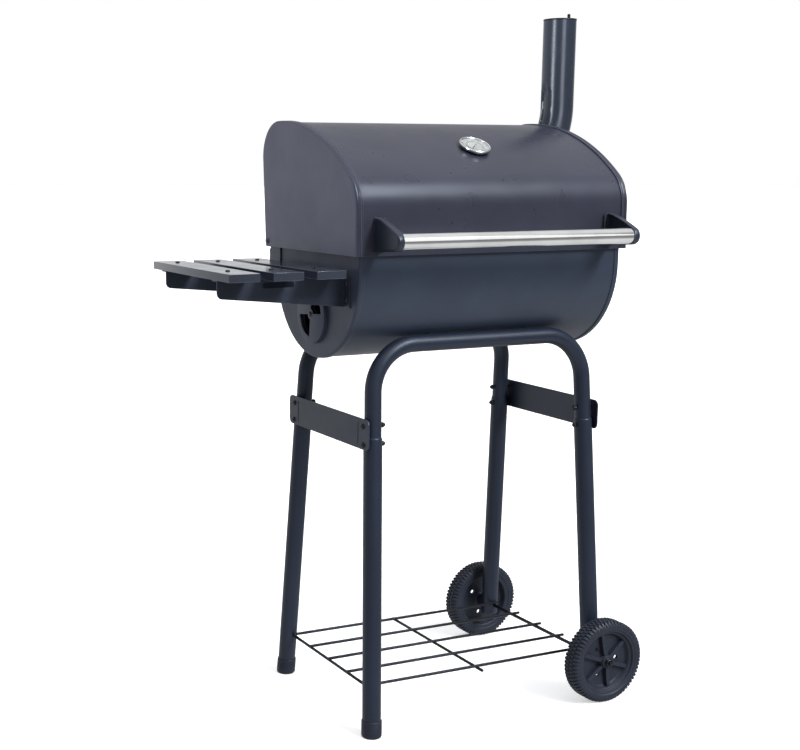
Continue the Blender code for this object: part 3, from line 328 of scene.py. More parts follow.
def settle(obj):
    """Apply an object's modifiers to its mesh."""
    graph = bpy.context.evaluated_depsgraph_get()
    made = bpy.data.meshes.new_from_object(obj.evaluated_get(graph))
    old = obj.data
    obj.modifiers.clear()
    obj.data = made
    made.name = obj.name
    bpy.data.meshes.remove(old)


def cut(obj, tools, operation="DIFFERENCE"):
    """Cut or join tool meshes, then drop them."""
    for tool in tools:
        modifier = obj.modifiers.new("cut", "BOOLEAN")
        modifier.operation = operation
        modifier.solver = "EXACT"
        modifier.object = tool
    settle(obj)
    for tool in tools:
        bpy.data.objects.remove(tool, do_unlink=True)


def loft(bm, rings, caps=True):
    """Join rings of vertices one after another, and close both ends."""
    for ring, after in zip(rings, rings[1:]):
        for index in range(len(ring)):
            following = (index + 1) % len(ring)
            bm.faces.new((ring[index], ring[following], after[following], after[index]))
    if caps:
        bm.faces.new(rings[0])
        bm.faces.new(rings[-1][::-1])


def prism(outline, low, high, place, bm=None):
    """Extrude a closed outline; place(u, v, w) turns millimetres into a point."""
    bm = bmesh.new() if bm is None else bm
    bottom, top = ([bm.verts.new(place(u, v, w)) for u, v in outline] for w in sorted((low, high)))
    bm.faces.new(bottom)
    bm.faces.new(top[::-1])
    for index in range(len(outline)):
        after = (index + 1) % len(outline)
        bm.faces.new((bottom[index], top[index], top[after], bottom[after]))
    return bm


def on_x(u, v, w):
    return at(w, u, v)


def on_y(u, v, w):
    return at(u, w, v)


def on_z(u, v, w):
    return at(u, v, w)


def arms(first, second, count, turn=0.0):
    """Unit vectors spaced evenly all round, from first towards second."""
    angles = [2 * math.pi * step / count + turn for step in range(count)]
    return [first * math.cos(angle) + second * math.sin(angle) for angle in angles]


def arc(centre, radius, first, last, steps):
    """Points of an arc, in degrees, both ends included."""
    points = []
    for step in range(steps + 1):
        angle = math.radians(first + (last - first) * step / steps)
        points.append((centre[0] + radius * math.cos(angle), centre[1] + radius * math.sin(angle)))
    return points


def round_box(low_u, low_v, high_u, high_v, radius, steps=6):
    """A rectangle's outline with round corners."""
    outline = []
    for u, v, first in ((high_u, high_v, 0), (low_u, high_v, 90), (low_u, low_v, 180), (high_u, low_v, 270)):
        centre = (u - radius if u == high_u else u + radius, v - radius if v == high_v else v + radius)
        outline += arc(centre, radius, first, first + 90, steps)
    return outline


def turned(profile, centre, axis, sides=64, across=None, bm=None):
    """Spin a closed (radius, height) profile in millimetres about an axis."""
    bm = bmesh.new() if bm is None else bm
    axis = Vector(axis).normalized()
    across = axis.orthogonal().normalized() if across is None else Vector(across)
    made = {}

    def vert(point):
        key = tuple(round(value, 7) for value in point)
        if key not in made:
            made[key] = bm.verts.new(point)
        return made[key]

    rings = []
    for arm in arms(across, axis.cross(across), sides):
        rings.append([vert(centre + axis * height * MM + arm * radius * MM) for radius, height in profile])
    for here, there in zip(rings, rings[1:] + rings[:1]):
        for index in range(len(profile)):
            after = (index + 1) % len(profile)
            corners = list(dict.fromkeys((here[index], there[index], there[after], here[after])))
            if len(corners) > 2:
                bm.faces.new(corners)
    return bm


def bent_path(corners, radii, steps):
    """A polyline with each inner corner turned into an arc; metres."""
    points = [Vector(corners[0])]
    for before, corner, after, radius in zip(corners, corners[1:], corners[2:], radii):
        to_before = (before - corner).normalized()
        to_after = (after - corner).normalized()
        half_turn = (math.pi - to_before.angle(to_after)) / 2
        reach = radius * math.tan(half_turn)
        centre = corner + (to_before + to_after).normalized() * (radius / math.cos(half_turn))
        start = corner + to_before * reach - centre
        end = corner + to_after * reach - centre
        for step in range(steps + 1):
            points.append(centre + start.slerp(end, step / steps) * radius)
    points.append(Vector(corners[-1]))
    return points


def tube(path, sections, sides, cut_x=None, wobble=None):
    """Sweep a pipe along a path; sections gives its outer and inner radius at each point, in millimetres.

    cut_x slants the last ring to a plane at that x in metres. wobble(point, arm) may move a point of the walls.
    """
    bm = bmesh.new()
    normal = (path[1] - path[0]).normalized().orthogonal().normalized()
    walls = [[], []]
    for index, (point, radii) in enumerate(zip(path, sections)):
        tangent = (path[min(index + 1, len(path) - 1)] - path[max(index - 1, 0)]).normalized()
        normal = (normal - tangent * normal.dot(tangent)).normalized()
        for wall, radius in zip(walls, radii):
            ring = []
            for arm in arms(normal, tangent.cross(normal), sides):
                place = point + arm * (radius * MM)
                if wobble is not None:
                    place = wobble(place, arm)
                ring.append(bm.verts.new(place))
            wall.append(ring)
            if cut_x is not None and point is path[-1]:
                for corner in ring:
                    corner.co += tangent * ((cut_x - corner.co.x) / tangent.x)
    for wall in walls:
        loft(bm, wall, caps=False)
    for end in (0, -1):
        loft(bm, [wall[end] for wall in walls], caps=False)
    return bm


def rod(start, end, radius, sides=16, chip=None, bm=None):
    """A solid rod between two points, with its ends rounded over chip millimetres."""
    length = (end - start).length / MM
    chip = chip or radius * 0.18
    profile = [(0.0, 0.0), (radius - chip, 0.0), (radius - chip * 0.3, chip * 0.3), (radius, chip)]
    profile += [(r, length - height) for r, height in reversed(profile)]
    return turned(profile, start, end - start, sides, bm=bm)


def hexagon(bm, centre, way, across_flats, height, turn):
    """A six-sided nut body along way."""
    side = way.orthogonal().normalized()
    corners = arms(side, way.cross(side), 6, math.radians(turn))
    radius = across_flats / 2 / math.cos(math.radians(30))
    levels = ((0.0, 0.93), (0.5, 1.0), (height - 0.5, 1.0), (height, 0.93))
    rings = [[centre + way * level * MM + arm * radius * scale * MM for arm in corners] for level, scale in levels]
    loft(bm, [[bm.verts.new(place) for place in ring] for ring in rings])


def screw(name, centre, way, head_r, head_h, finish, recess=True):
    """A pan head that sits on a face, with a round recess or a plain top."""
    profile = [(0.0, -0.4), (head_r, -0.4)]
    middle = [(0.34, 1.0), (0.24, 0.45), (0.0, 0.4)] if recess else [(0.0, 1.04)]
    profile += [(head_r * out, head_h * up) for out, up in [(1.0, 0.35), (0.86, 0.75), (0.6, 1.0)] + middle]
    put(name, turned(profile, centre, way, 20), finish)


# ---------------------------------------------------------------- stand

FOOT_X, FOOT_Y = 229.7, 164.5
TOP_X, TOP_Y, TOP_Z = 210.0, 116.5, 658.5
UPPER_R, LEG_R, WALL, TUBE_BEND = 14.3, 15.9, 1.2, 80.0
LEG_TOP, UPPER_END = 507.0, 480.0


def leg_axis(side_x, side_y, z):
    """The middle of a leg at a height."""
    share = z / TOP_Z
    return at(side_x * (FOOT_X + (TOP_X - FOOT_X) * share), side_y * (FOOT_Y + (TOP_Y - FOOT_Y) * share), z)


def make_tubes():
    """The two bent upper tubes and the four lower legs, with softly rounded ends."""
    for side_y, row in ROWS:
        spots = ((-1, UPPER_END), (-1, TOP_Z), (1, TOP_Z), (1, UPPER_END))
        path = bent_path([leg_axis(side_x, side_y, z) for side_x, z in spots], (TUBE_BEND * MM,) * 2, 22)
        bm = tube(path, [(UPPER_R, UPPER_R - WALL)] * len(path), 48)
        put("tube_upper_" + row, bm, LEG_PAINT, "stand", ["u_tube_" + row])
        for side_x, column in ENDS:
            low = 3.0 if side_x < 0 else 57.0
            levels = [(low, 0.5), (low + 0.5, 0.1), (low + 1.6, 0.0)]
            levels += [(LEG_TOP - 5.0, 0.0), (LEG_TOP - 2.2, 0.15), (LEG_TOP - 0.7, 0.5), (LEG_TOP, 1.0)]
            path = [leg_axis(side_x, side_y, z) for z, less in levels]
            bm = tube(path, [(LEG_R - less, LEG_R - WALL) for z, less in levels], 48)
            name = "leg_" + row + "_" + column
            put("tube_" + name, bm, LEG_PAINT, "stand", [name], angle=50)


def make_feet():
    """Plastic cups on the two left legs, each with a fine groove below its lip."""
    levels = [
        (0.0, 14.5), (0.6, 16.0), (1.8, 17.1), (4.0, 17.5), (23.6, 17.5), (24.0, 17.25), (24.8, 17.25), (25.2, 17.5),
        (27.6, 17.5), (28.6, 17.2), (29.0, 16.7), (29.0, 16.25), (28.5, 16.2), (2.7, 16.2),
    ]
    around = arms(Vector((1, 0, 0)), Vector((0, 1, 0)), 56)
    for side_y, row in ROWS:
        bm = bmesh.new()
        rings = [[leg_axis(-1, side_y, z) + arm * radius * MM for arm in around] for z, radius in levels]
        loft(bm, [[bm.verts.new(place) for place in ring] for ring in rings])
        put("foot_" + row, bm, CAP_PLASTIC, "stand", ["foot_cap_" + row], angle=40)


PLATE_LOW, PLATE_HIGH, PLATE_HALF = 488.0, 540.0, 146.0


def plate_face():
    """The inner face of a side plate, in millimetres from the middle."""
    return (leg_axis(1, 1, PLATE_LOW).x - OX) / MM + LEG_R + 0.3


def make_plates():
    """Side plates with round corners and a narrow groove beside each leg."""
    inner = plate_face()
    for side_x, column in ENDS:
        outline = round_box(-PLATE_HALF, PLATE_LOW, PLATE_HALF, PLATE_HIGH, 10.0, 8)
        bm = prism(outline, side_x * inner, side_x * (inner + 2.0), on_x)
        plate = put("plate_" + column, bm, LEG_PAINT, "stand", ["side_plate_" + column], smooth=False)
        tools = []
        for y in (-110.5, 110.5):
            groove = round_box(y - 1.3, PLATE_LOW + 7, y + 1.3, PLATE_HIGH - 7, 1.25, 5)
            tools.append(new_object(prism(groove, side_x * (inner + 1.2), side_x * (inner + 3.0), on_x)))
        cut(plate, tools)
        soften(plate)
        round_edges(plate, 0.00045, 3, 30)


def make_plate_bolts():
    """Pan-head bolts with hexagon nuts and a little thread showing."""
    seat = plate_face() + 2.3
    head = [(0, -0.3), (4.9, -0.3), (4.9, 0.0), (4.7, 1.0), (3.9, 2.0), (2.6, 2.6), (1.6, 2.6), (1.2, 1.2), (0, 1.1)]
    turns = [spot for turn in range(3) for spot in ((2.5, 3.4 + turn), (2.9, 3.9 + turn))]
    thread = [(0.0, 3.4)] + turns + [(2.4, 6.3), (0.0, 6.5)]
    for side_x, column in ENDS:
        way = Vector((side_x, 0, 0))
        for side_y, row in ROWS:
            for z, level in ((496.0, "lower"), (527.0, "upper")):
                middle = leg_axis(side_x, side_y, z)
                y = (middle.y - OY) / MM
                inside = abs(middle.x - OX) / MM - LEG_R - 0.3
                bm = turned(head, at(side_x * seat, y, z), way, 28)
                foot = at(side_x * inside, y, z)
                hexagon(bm, foot, -way, 8.0, 3.8, 15.0 * side_y + z)
                turned(thread, foot, -way, 20, bm=bm)
                rod(at(side_x * (seat - 0.4), y, z), at(side_x * (inside - 1.0), y, z), 2.9, bm=bm)
                name = "bolt_" + row + "_" + column + "_" + level
                put(name, bm, BLACK_STEEL, "stand", ["plate_" + name])


RACK_Z, WIRE_R, RACK_PITCH = 81.3, 2.6, 70.0


def make_rack():
    """Drawn wires with weld beads where they cross."""
    leg_y = abs(leg_axis(-1, 1, RACK_Z).y - OY) / MM
    low_z = RACK_Z - 1.7 * WIRE_R
    bead = [(0, -1.5), (1.3, -1.1), (1.9, -0.2), (1.9, 0.4), (1.2, 1.1), (0, 1.4)]
    bm = bmesh.new()
    crossings = ((-222.0, leg_y + 6.0), (-2.0, 2 * RACK_PITCH + 14.0))
    for x, reach in crossings:
        rod(at(x, -reach, low_z), at(x, reach, low_z), WIRE_R, bm=bm)
    for index in range(5):
        y = (index - 2) * RACK_PITCH
        rod(at(-226.0, y, RACK_Z), at(236.0, y, RACK_Z), WIRE_R, bm=bm)
        for x, reach in crossings:
            for side in (-1, 1):
                spot = at(x + side * 2.2, y + side * 2.2, (RACK_Z + low_z) / 2)
                turned(bead, spot, (side, side, 0.2), 10, bm=bm)
    put("rack_wires", bm, WIRE_PAINT, "stand", ["bottom_rack"])


# ---------------------------------------------------------------- axle and wheels

WHEEL_X, WHEEL_Y, WHEEL_Z = 228.5, 193.8, 75.0
HALF = 17.6
LUGS = 64


def make_axle():
    """The rod and its two push-on caps."""
    reach = WHEEL_Y + HALF + 6.0
    bm = rod(at(WHEEL_X, -reach, WHEEL_Z), at(WHEEL_X, reach, WHEEL_Z), 3.2, 28, 0.8)
    put("axle_rod", bm, BLACK_STEEL, "stand", ["axle"])
    profile = [
        (3.5, 0.0), (8.0, 0.0), (8.0, 0.9), (7.6, 1.2), (7.4, 3.4), (6.6, 4.9), (5.4, 5.5), (4.4, 5.4), (3.9, 4.6),
        (3.5, 4.4),
    ]
    for side_y, row in ROWS:
        bm = turned(profile, at(WHEEL_X, side_y * (WHEEL_Y + HALF - 1.7), WHEEL_Z), (0, side_y, 0), 40)
        put("axle_cap_" + row, bm, BLACK_STEEL, "stand", ["axle_nut_" + row], angle=40)


def wheel_point(centre, side_y, angle, radius, depth):
    """A point on a wheel: angle round the axle, radius and depth towards the outside."""
    return centre + Vector((math.cos(angle) * radius, side_y * depth, math.sin(angle) * radius)) * MM


INNER_LUG = ((0.9, 72.5, 75.0), (8.4, 72.2, 75.0))
OUTER_LUG = ((9.8, 71.8, 75.0), (HALF - 5.0, 71.0, 74.9), (HALF - 2.2, 69.2, 72.2), (HALF - 0.2, 66.4, 68.2))


def add_lug(bm, centre, side_y, angle, row, sections):
    """A tread block; sections give its depth, root radius and top radius."""
    rings = []
    for depth, low_r, high_r in sections:
        corners = ((low_r, -2.1), (low_r, 2.1), (high_r, 1.55), (high_r, -1.55))
        rings.append([
            bm.verts.new(wheel_point(centre, side_y, angle + math.radians(half), radius, row * depth))
            for radius, half in corners
        ])
    loft(bm, rings)


def add_spoke(bm, centre, side_y, angle):
    """A radial rib from the hub to the rim, sloping down towards the middle."""
    along = Vector((math.cos(angle), 0, math.sin(angle)))
    across = Vector((-math.sin(angle), 0, math.cos(angle)))
    out = Vector((0, side_y, 0))
    inner, outer, low, hub_top, rim_top = 11.5, 49.2, 2.0, 11.6, 9.4
    middle = ((inner + outer) / 2, (hub_top + rim_top) / 2 - 0.8)
    outline = [(inner, low), (outer, low), (outer, rim_top), middle, (inner, hub_top)]
    rings = []
    for sign in (-1, 1):
        halves = [4.4 if depth == low else 4.4 * 0.72 for radius, depth in outline]
        rings.append([
            bm.verts.new(centre + (along * radius + across * sign * half + out * depth) * MM)
            for (radius, depth), half in zip(outline, halves)
        ])
    loft(bm, rings)


def make_wheel(row, side_y, first_hole):
    """A moulded wheel: lugged tyre, stepped rim, ribbed web and a hub."""
    centre = at(WHEEL_X, side_y * WHEEL_Y, WHEEL_Z)
    back = [
        (3.5, 0.0), (10.5, 0.0), (11.4, 0.7), (12.2, HALF - 4.2), (13.2, HALF - 3.2), (14.2, HALF - 3.0),
        (44.0, HALF - 3.0), (46.4, HALF - 4.0), (48.0, HALF - 7.0), (50.6, 3.4), (52.2, 2.4), (58.5, 2.2), (59.6, 1.0),
        (64.0, 0.4), (66.5, 0.9), (69.5, 2.4), (71.6, 4.6),
    ]
    tread = [(72.9, -9.0), (73.1, -1.2), (72.2, -0.6), (72.2, 0.6), (73.1, 1.2), (72.9, 9.0)]
    front = [
        (71.6, 4.6), (69.5, 2.4), (66.5, 0.9), (64.0, 0.4), (61.0, 0.7), (60.0, 2.0), (58.6, 2.4), (56.6, 2.4),
        (55.6, 3.6), (55.0, 6.0), (54.0, 6.8), (51.6, 7.0), (50.4, 8.2), (48.6, HALF - 5.2), (47.2, HALF - 3.2),
        (45.0, HALF - 2.5),
        (15.5, HALF - 2.5), (13.6, HALF - 3.4), (12.6, HALF - 6.0), (11.6, 3.0), (10.8, 2.1), (3.5, 2.1),
    ]
    profile = [(r, depth - HALF) for r, depth in back] + tread + [(r, HALF - depth) for r, depth in front]

    def add(name, bm, **more):
        return put("wheel_" + row + name, bm, WHEEL_PLASTIC, "wheel_" + row, **more)

    wheel = add("_body", turned(profile, centre, (0, side_y, 0), 144, (1, 0, 0)), replaces=["wheel_" + row], angle=38)
    bm = bmesh.new()
    for index in range(3):
        spot = wheel_point(centre, side_y, math.radians(first_hole + 120 * index), 27.0, 0.0)
        turned([(0, -12), (4.3, -12), (4.3, 12), (0, 12)], spot, (0, 1, 0), 24, bm=bm)
    cut(wheel, [new_object(bm)])
    bm = bmesh.new()
    for index in range(4 * LUGS):
        shift = 0.5 if index % 4 in (1, 2) else 0.0
        angle = 2 * math.pi * (index // 4 + shift) / LUGS
        add_lug(bm, centre, side_y, angle, 1 if index % 2 else -1, INNER_LUG if index % 4 < 2 else OUTER_LUG)
    add("_tread", bm, bevel=0.0004)
    bm = bmesh.new()
    for index in range(6):
        add_spoke(bm, centre, side_y, math.radians(first_hole + 36.0 + 60 * index))
    add("_spokes", bm, bevel=0.0005)


# ---------------------------------------------------------------- barrel sheets

def offset(line, distance):
    """Move an open (y, z) line sideways, to the left of its direction if positive."""
    moved = []
    for index, point in enumerate(line):
        before = line[max(index - 1, 0)]
        after = line[min(index + 1, len(line) - 1)]
        way = Vector((after[0] - before[0], after[1] - before[1])).normalized()
        moved.append((point[0] - way.y * distance, point[1] + way.x * distance))
    moved[0] = (moved[0][0], line[0][1])
    moved[-1] = (moved[-1][0], line[-1][1])
    return moved


def even_line(line, longest=14.0):
    """Add points on long straight runs, so that shading stays even."""
    dense = [line[0]]
    for point in line[1:]:
        start = Vector(dense[-1])
        run = Vector(point) - start
        count = max(1, int(run.length / longest))
        for step in range(1, count + 1):
            dense.append(tuple(start + run * step / count))
    return dense


def pressed_cap(line, face_x, side_x, flange, inward, bend=3.6, sheet=1.2, bead=0.0):
    """An end plate whose edge is bent over into a flange, with a bead along each edge of the flange.

    inward is +1 or -1: the side of the line that the plate lies on.
    """
    bm = bmesh.new()
    rings = []

    def ring(back, depth):
        points = offset(line, inward * depth)
        rings.append([bm.verts.new(on_x(u, v, face_x - side_x * back)) for u, v in points])

    if bead:
        rim = ((0.0, 0.0), (0.0, -0.6), (0.3, -0.9), (0.9, -1.0), (2.2, -1.0), (2.8, -0.8), (3.3, -0.25), (3.7, 0.0))
        for back, lift in rim:
            ring(flange - back, bead * lift)
        for back, lift in ((3.4, 0.0), (2.9, -0.3), (2.3, -0.7), (1.5, -0.8)):
            ring(bend + back, bead * lift)
    else:
        for back, depth in ((0.0, 0.45), (0.15, 0.12), (0.5, 0.0)):
            ring(flange - back, depth)
    for step in range(8):
        turn = math.radians(90 * step / 7)
        ring(bend * (1 - math.sin(turn)), bend * (1 - math.cos(turn)) - bead * 0.8 * (1 - step / 7))
    ring(0.0, bend + 0.6)
    outer_face = rings[-1]
    ring(sheet, bend + 0.6)
    inner_face = rings[-1]
    for step in range(6):
        turn = math.radians(90 * (5 - step) / 5)
        small = bend - sheet
        ring(bend - small * math.sin(turn), sheet + small * (1 - math.cos(turn)))
    ring(flange, sheet)
    for low, high in zip(rings, rings[1:] + rings[:1]):
        if low is outer_face:
            continue
        for spot in range(len(line) - 1):
            bm.faces.new((low[spot], low[spot + 1], high[spot + 1], high[spot]))
    bm.faces.new(outer_face)
    bm.faces.new(inner_face)
    bm.faces.new([ring_[0] for ring_ in rings])
    bm.faces.new([ring_[-1] for ring_ in rings])
    bm.faces.new((outer_face[0], outer_face[-1], inner_face[-1], inner_face[0]))
    return bm


def bent_sheet(line, near, far, half_x, parts=8):
    """A bent sheet between two offsets of a line, with rings along X for even shading."""
    bm = bmesh.new()
    loop = offset(line, near) + list(reversed(offset(line, far)))
    rings = [[bm.verts.new(on_x(u, v, half_x * (2 * step / parts - 1))) for u, v in loop] for step in range(parts + 1)]
    loft(bm, rings, caps=False)
    for ring in (rings[0], rings[-1]):
        for index in range(len(line) - 1):
            bm.faces.new((ring[index], ring[index + 1], ring[-2 - index], ring[-1 - index]))
    return bm


def bowl_line():
    line = [(-154.0, 812.0)] + arc((0.0, 781.5), 154.0, 180, 360, 96) + [(154.0, 812.0)]
    return even_line(line)


def lid_line():
    corners = [(-159.5, 809.0), (-157.0, 918.0), (-23.0, 1028.0), (194.0, 1028.0), (177.0, 809.0)]
    corners = [Vector((0.0, y, z)) for y, z in corners]
    line = [(corners[0].y, corners[0].z)]
    for index, radius, steps in ((0, 70.0, 26), (1, 395.0, 34), (2, 60.0, 30)):
        points = bent_path(corners[index:index + 3], (radius,), steps)[1:-1]
        line += [(p.y, p.z) for p in points if math.dist((p.y, p.z), line[-1]) > 0.8]
    line.append((corners[-1].y, corners[-1].z))
    return even_line(line)


def sector(centre, inner, outer, first, last):
    return arc(centre, outer, first, last, 20) + list(reversed(arc(centre, inner, first, last, 12)))


DAMPER = (4.0, 702.0)


def vent_tool(low, high):
    """Two sector openings."""
    bm = bmesh.new()
    for first in (95.0, 275.0):
        prism(sector(DAMPER, 9.0, 39.0, first, first + 80.0), low, high, on_x, bm)
    return new_object(bm)


def paint_flange(cap, material):
    """Give the turned edge of a pressed end the paint of the sheet it meets."""
    cap.data.materials.append(material)
    for face in cap.data.polygons:
        if abs(face.normal.x) < 0.7:
            face.material_index = 1


def make_bowl():
    """The trough: a bent sheet and two pressed ends."""
    line = bowl_line()
    put("bowl_sheet", bent_sheet(line, 1.5, 2.7, 256.5), BOWL_PAINT, "stand", ["bowl_shell"], bevel=0.0003)
    for side_x, column in ENDS:
        bm = pressed_cap(line, side_x * 258.0, side_x, 10.0, 1)
        cap = put("bowl_cap_" + column, bm, LIT_BOWL_END_PAINT, "stand", ["bowl_end_" + column])
        if side_x < 0:
            cut(cap, [vent_tool(-263.0, -253.0)])
        paint_flange(cap, BOWL_PAINT[0])


def make_damper():
    """The flat air disc with its turned edge, its tab and its rivet."""
    face = -258.3
    centre = at(face, *DAMPER)
    outward = (-1, 0, 0)
    profile = [
        (2.6, 5.6), (47.0, 5.6), (48.4, 5.0), (48.6, 0.0), (50.0, 0.0), (50.0, 6.0), (49.7, 6.7), (49.0, 7.0),
        (2.6, 7.0),
    ]
    bm = turned(profile, centre, outward, 112)
    # The disc and its tab take the bowl ends' lighter copy of the paint, with its painted light.
    disc = put("damper_disc", bm, LIT_BOWL_END_PAINT, "air_damper", ["air_damper"], angle=40)
    cut(disc, [vent_tool(face - 12.0, face + 2.0)])
    soften(disc, 40)
    root = face - 6.6
    low = DAMPER[1] + 42.0
    bm = prism(round_box(DAMPER[0] - 9.0, low, DAMPER[0] + 9.0, low + 2.0, 0.9, 4), root - 11.0, root, on_x)
    put("damper_tab", bm, LIT_BOWL_END_PAINT, "air_damper", bevel=0.0005)
    rivet = [
        (0, -3.4), (4.2, -3.4), (4.5, -3.0), (4.5, -1.8), (2.3, -1.8), (2.3, 0.0), (4.5, 0.0), (4.5, 5.3), (2.3, 5.3),
        (2.3, 7.3), (4.5, 7.3), (4.4, 7.9), (3.4, 8.7), (1.6, 9.1), (0, 9.1),
    ]
    put("damper_pin", turned(rivet, centre, outward, 32), BLACK_STEEL, "stand", ["damper_rivet"], angle=40)


# ---------------------------------------------------------------- shelf

SLAT_LEFTS = (-486.0, -410.7, -335.4)
SLAT_TOP, SLAT_THICK, SLAT_WIDTH = 788.0, 13.0, 53.0
SLAT_FRONT, SLAT_BACK = -156.0, 173.0


def make_slats():
    """Folded steel slats with rounded edges, each held by two pan-head screws."""
    low = SLAT_TOP - SLAT_THICK
    for number, left in enumerate(SLAT_LEFTS, 1):
        right = left + SLAT_WIDTH
        bm = prism(round_box(left, SLAT_FRONT, right, SLAT_BACK, 1.6, 3), low, SLAT_TOP, on_z)
        slat = put("slat_" + str(number), bm, SHELF_PAINT, "stand", ["shelf_slat_" + str(number)], smooth=False)
        hollow = round_box(left + 1.5, SLAT_FRONT + 1.5, right - 1.5, SLAT_BACK - 1.5, 0.8, 3)
        cut(slat, [new_object(prism(hollow, low - 5.0, SLAT_TOP - 1.5, on_z))])
        soften(slat)
        round_edges(slat, 0.0009, 3, 30)
        for spot, y in (("front", -89.0), ("rear", 125.0)):
            name = "slat_screw_" + str(number) + "_" + spot
            screw(name, at(left + SLAT_WIDTH / 2, y, SLAT_TOP), UP, 3.9, 1.9, BLACK_STEEL)


def make_brackets():
    """Pressed shelf arms: a tapered web with a slot, a top flange and an end flange."""
    top = SLAT_TOP - SLAT_THICK - 0.3
    wall_x = -258.3
    tip = SLAT_LEFTS[0] + 2.0
    web = [(wall_x, top), (tip, top), (tip, top - 18.5)]
    web += arc((tip + 10.0, top - 20.0), 10.0, 180, 262, 7) + [(wall_x, top - 50.5)]
    slot = round_box(-406.0, top - 15.5, -348.0, top - 5.5, 4.6, 6)
    for side_y, row in ROWS:
        face = 7.0 + side_y * 110.0
        bm = prism(web, face, face + 2.0, on_y)
        arm = put("shelf_arm_" + row, bm, BRACKET_PAINT, "stand", ["shelf_bracket_" + row], smooth=False)
        flange = [(tip, face + 0.5), (wall_x, face + 0.5), (wall_x, face + 20.0), (tip, face + 20.0)]
        low_y = face + (1.0 if side_y > 0 else -22.0)
        foot = round_box(low_y, top - 51.5, low_y + 23.0, top, 2.5, 4)
        joins = [prism(flange, top - 2.0, top, on_z), prism(foot, wall_x - 2.0, wall_x, on_x)]
        cut(arm, [new_object(bm) for bm in joins], "UNION")
        cut(arm, [new_object(prism(slot, face - 5.0, face + 5.0, on_y))])
        soften(arm)
        round_edges(arm, 0.0005, 3, 30)
        for level, z in (("upper", top - 12.0), ("lower", top - 38.0)):
            centre = at(wall_x - 2.0, low_y + 11.5, z)
            screw("arm_screw_" + row + "_" + level, centre, (-1, 0, 0), 3.6, 1.5, BRACKET_PAINT, False)


# ---------------------------------------------------------------- lid

HINGE_Y, HINGE_Z = 168.0, 819.0
LID_END_X = 268.4
CHIMNEY_X, CHIMNEY_Y, CHIMNEY_R, CHIMNEY_TOP, CHIMNEY_TURN = 318.0, 117.0, 30.5, 1220.0, math.radians(36)


def notch_tool(side_x):
    """Room for a hinge lug in the lid's rear edge."""
    outline = round_box(HINGE_Y - 3.0, 800.0, 205.0, 831.0, 2.0, 4)
    return new_object(prism(outline, side_x * 252.0, side_x * 264.5, on_x))


def chimney_hole():
    """The oval where the slanted pipe meets the lid's right end."""
    base = chimney_path()[-1]
    middle_z = base.z / MM - ((base.x - OX) / MM - LID_END_X) / math.tan(CHIMNEY_TURN)
    tall = CHIMNEY_R / math.sin(CHIMNEY_TURN) + 1.8
    angles = [2 * math.pi * step / 64 for step in range(64)]
    hole = [(CHIMNEY_Y + (CHIMNEY_R + 0.6) * math.cos(a), middle_z + tall * math.sin(a)) for a in angles]
    return new_object(prism(hole, 263.0, 274.0, on_x))


def make_lid():
    """The hood: a bent sheet and two pressed ends with a beaded flange."""
    line = lid_line()
    shell = put("lid_sheet", bent_sheet(line, -1.5, -2.7, 266.9, 12), LID_PAINT, "lid", ["lid_shell"])
    cut(shell, [notch_tool(-1), notch_tool(1)])
    soften(shell, 32)
    round_edges(shell, 0.0003, 2, 32)
    for side_x, column in ENDS:
        bm = pressed_cap(line, side_x * LID_END_X, side_x, 13.0, -1, bend=3.2, bead=1.0)
        cap = put("lid_cap_" + column, bm, LIT_END_PAINT, "lid", ["lid_end_" + column])
        tools = [notch_tool(side_x)]
        if side_x > 0:
            tools.append(chimney_hole())
        cut(cap, tools)
        soften(cap, 32)
        paint_flange(cap, LID_PAINT[0])


def make_hinges():
    """Lugs behind the lid's ends and their shouldered pins."""
    outline = [
        (132, 777), (170, 777), (176, 783), (176, 803), (172, 806), (173.5, 819), (168, 824.5), (158, 822), (150, 813),
        (132, 811),
    ]
    shoulder = LID_END_X - 1.5 - 260.3 - 0.3
    outside = shoulder + 1.8
    profile = [
        (0.0, -8.6), (2.6, -8.6), (3.0, -8.2), (3.0, -6.6), (5.0, -6.6), (5.2, -6.2), (5.2, -2.6), (3.0, -2.6),
        (3.0, 0.0), (5.0, 0.0), (5.0, shoulder), (3.0, shoulder), (3.0, outside), (5.5, outside), (5.3, outside + 0.9),
        (4.2, outside + 2.1), (2.2, outside + 2.7), (0.0, outside + 2.8),
    ]
    for side_x, column in ENDS:
        bm = prism(outline, side_x * 258.3, side_x * 260.3, on_x)
        put("lug_" + column, bm, (LEG_PAINT[0], BARREL), "stand", ["hinge_lug_" + column], bevel=0.0005)
        bm = turned(profile, at(side_x * 260.6, HINGE_Y, HINGE_Z), (side_x, 0, 0), 32)
        # The pin heads take the lid ends' lighter copy of the paint, with its painted light.
        put("lid_pin_" + column, bm, LIT_END_PAINT, "stand", ["hinge_pin_" + column], angle=40)


HANDLE_Y, HANDLE_Z, HANDLE_HALF = -219.3, 834.3, 233.0


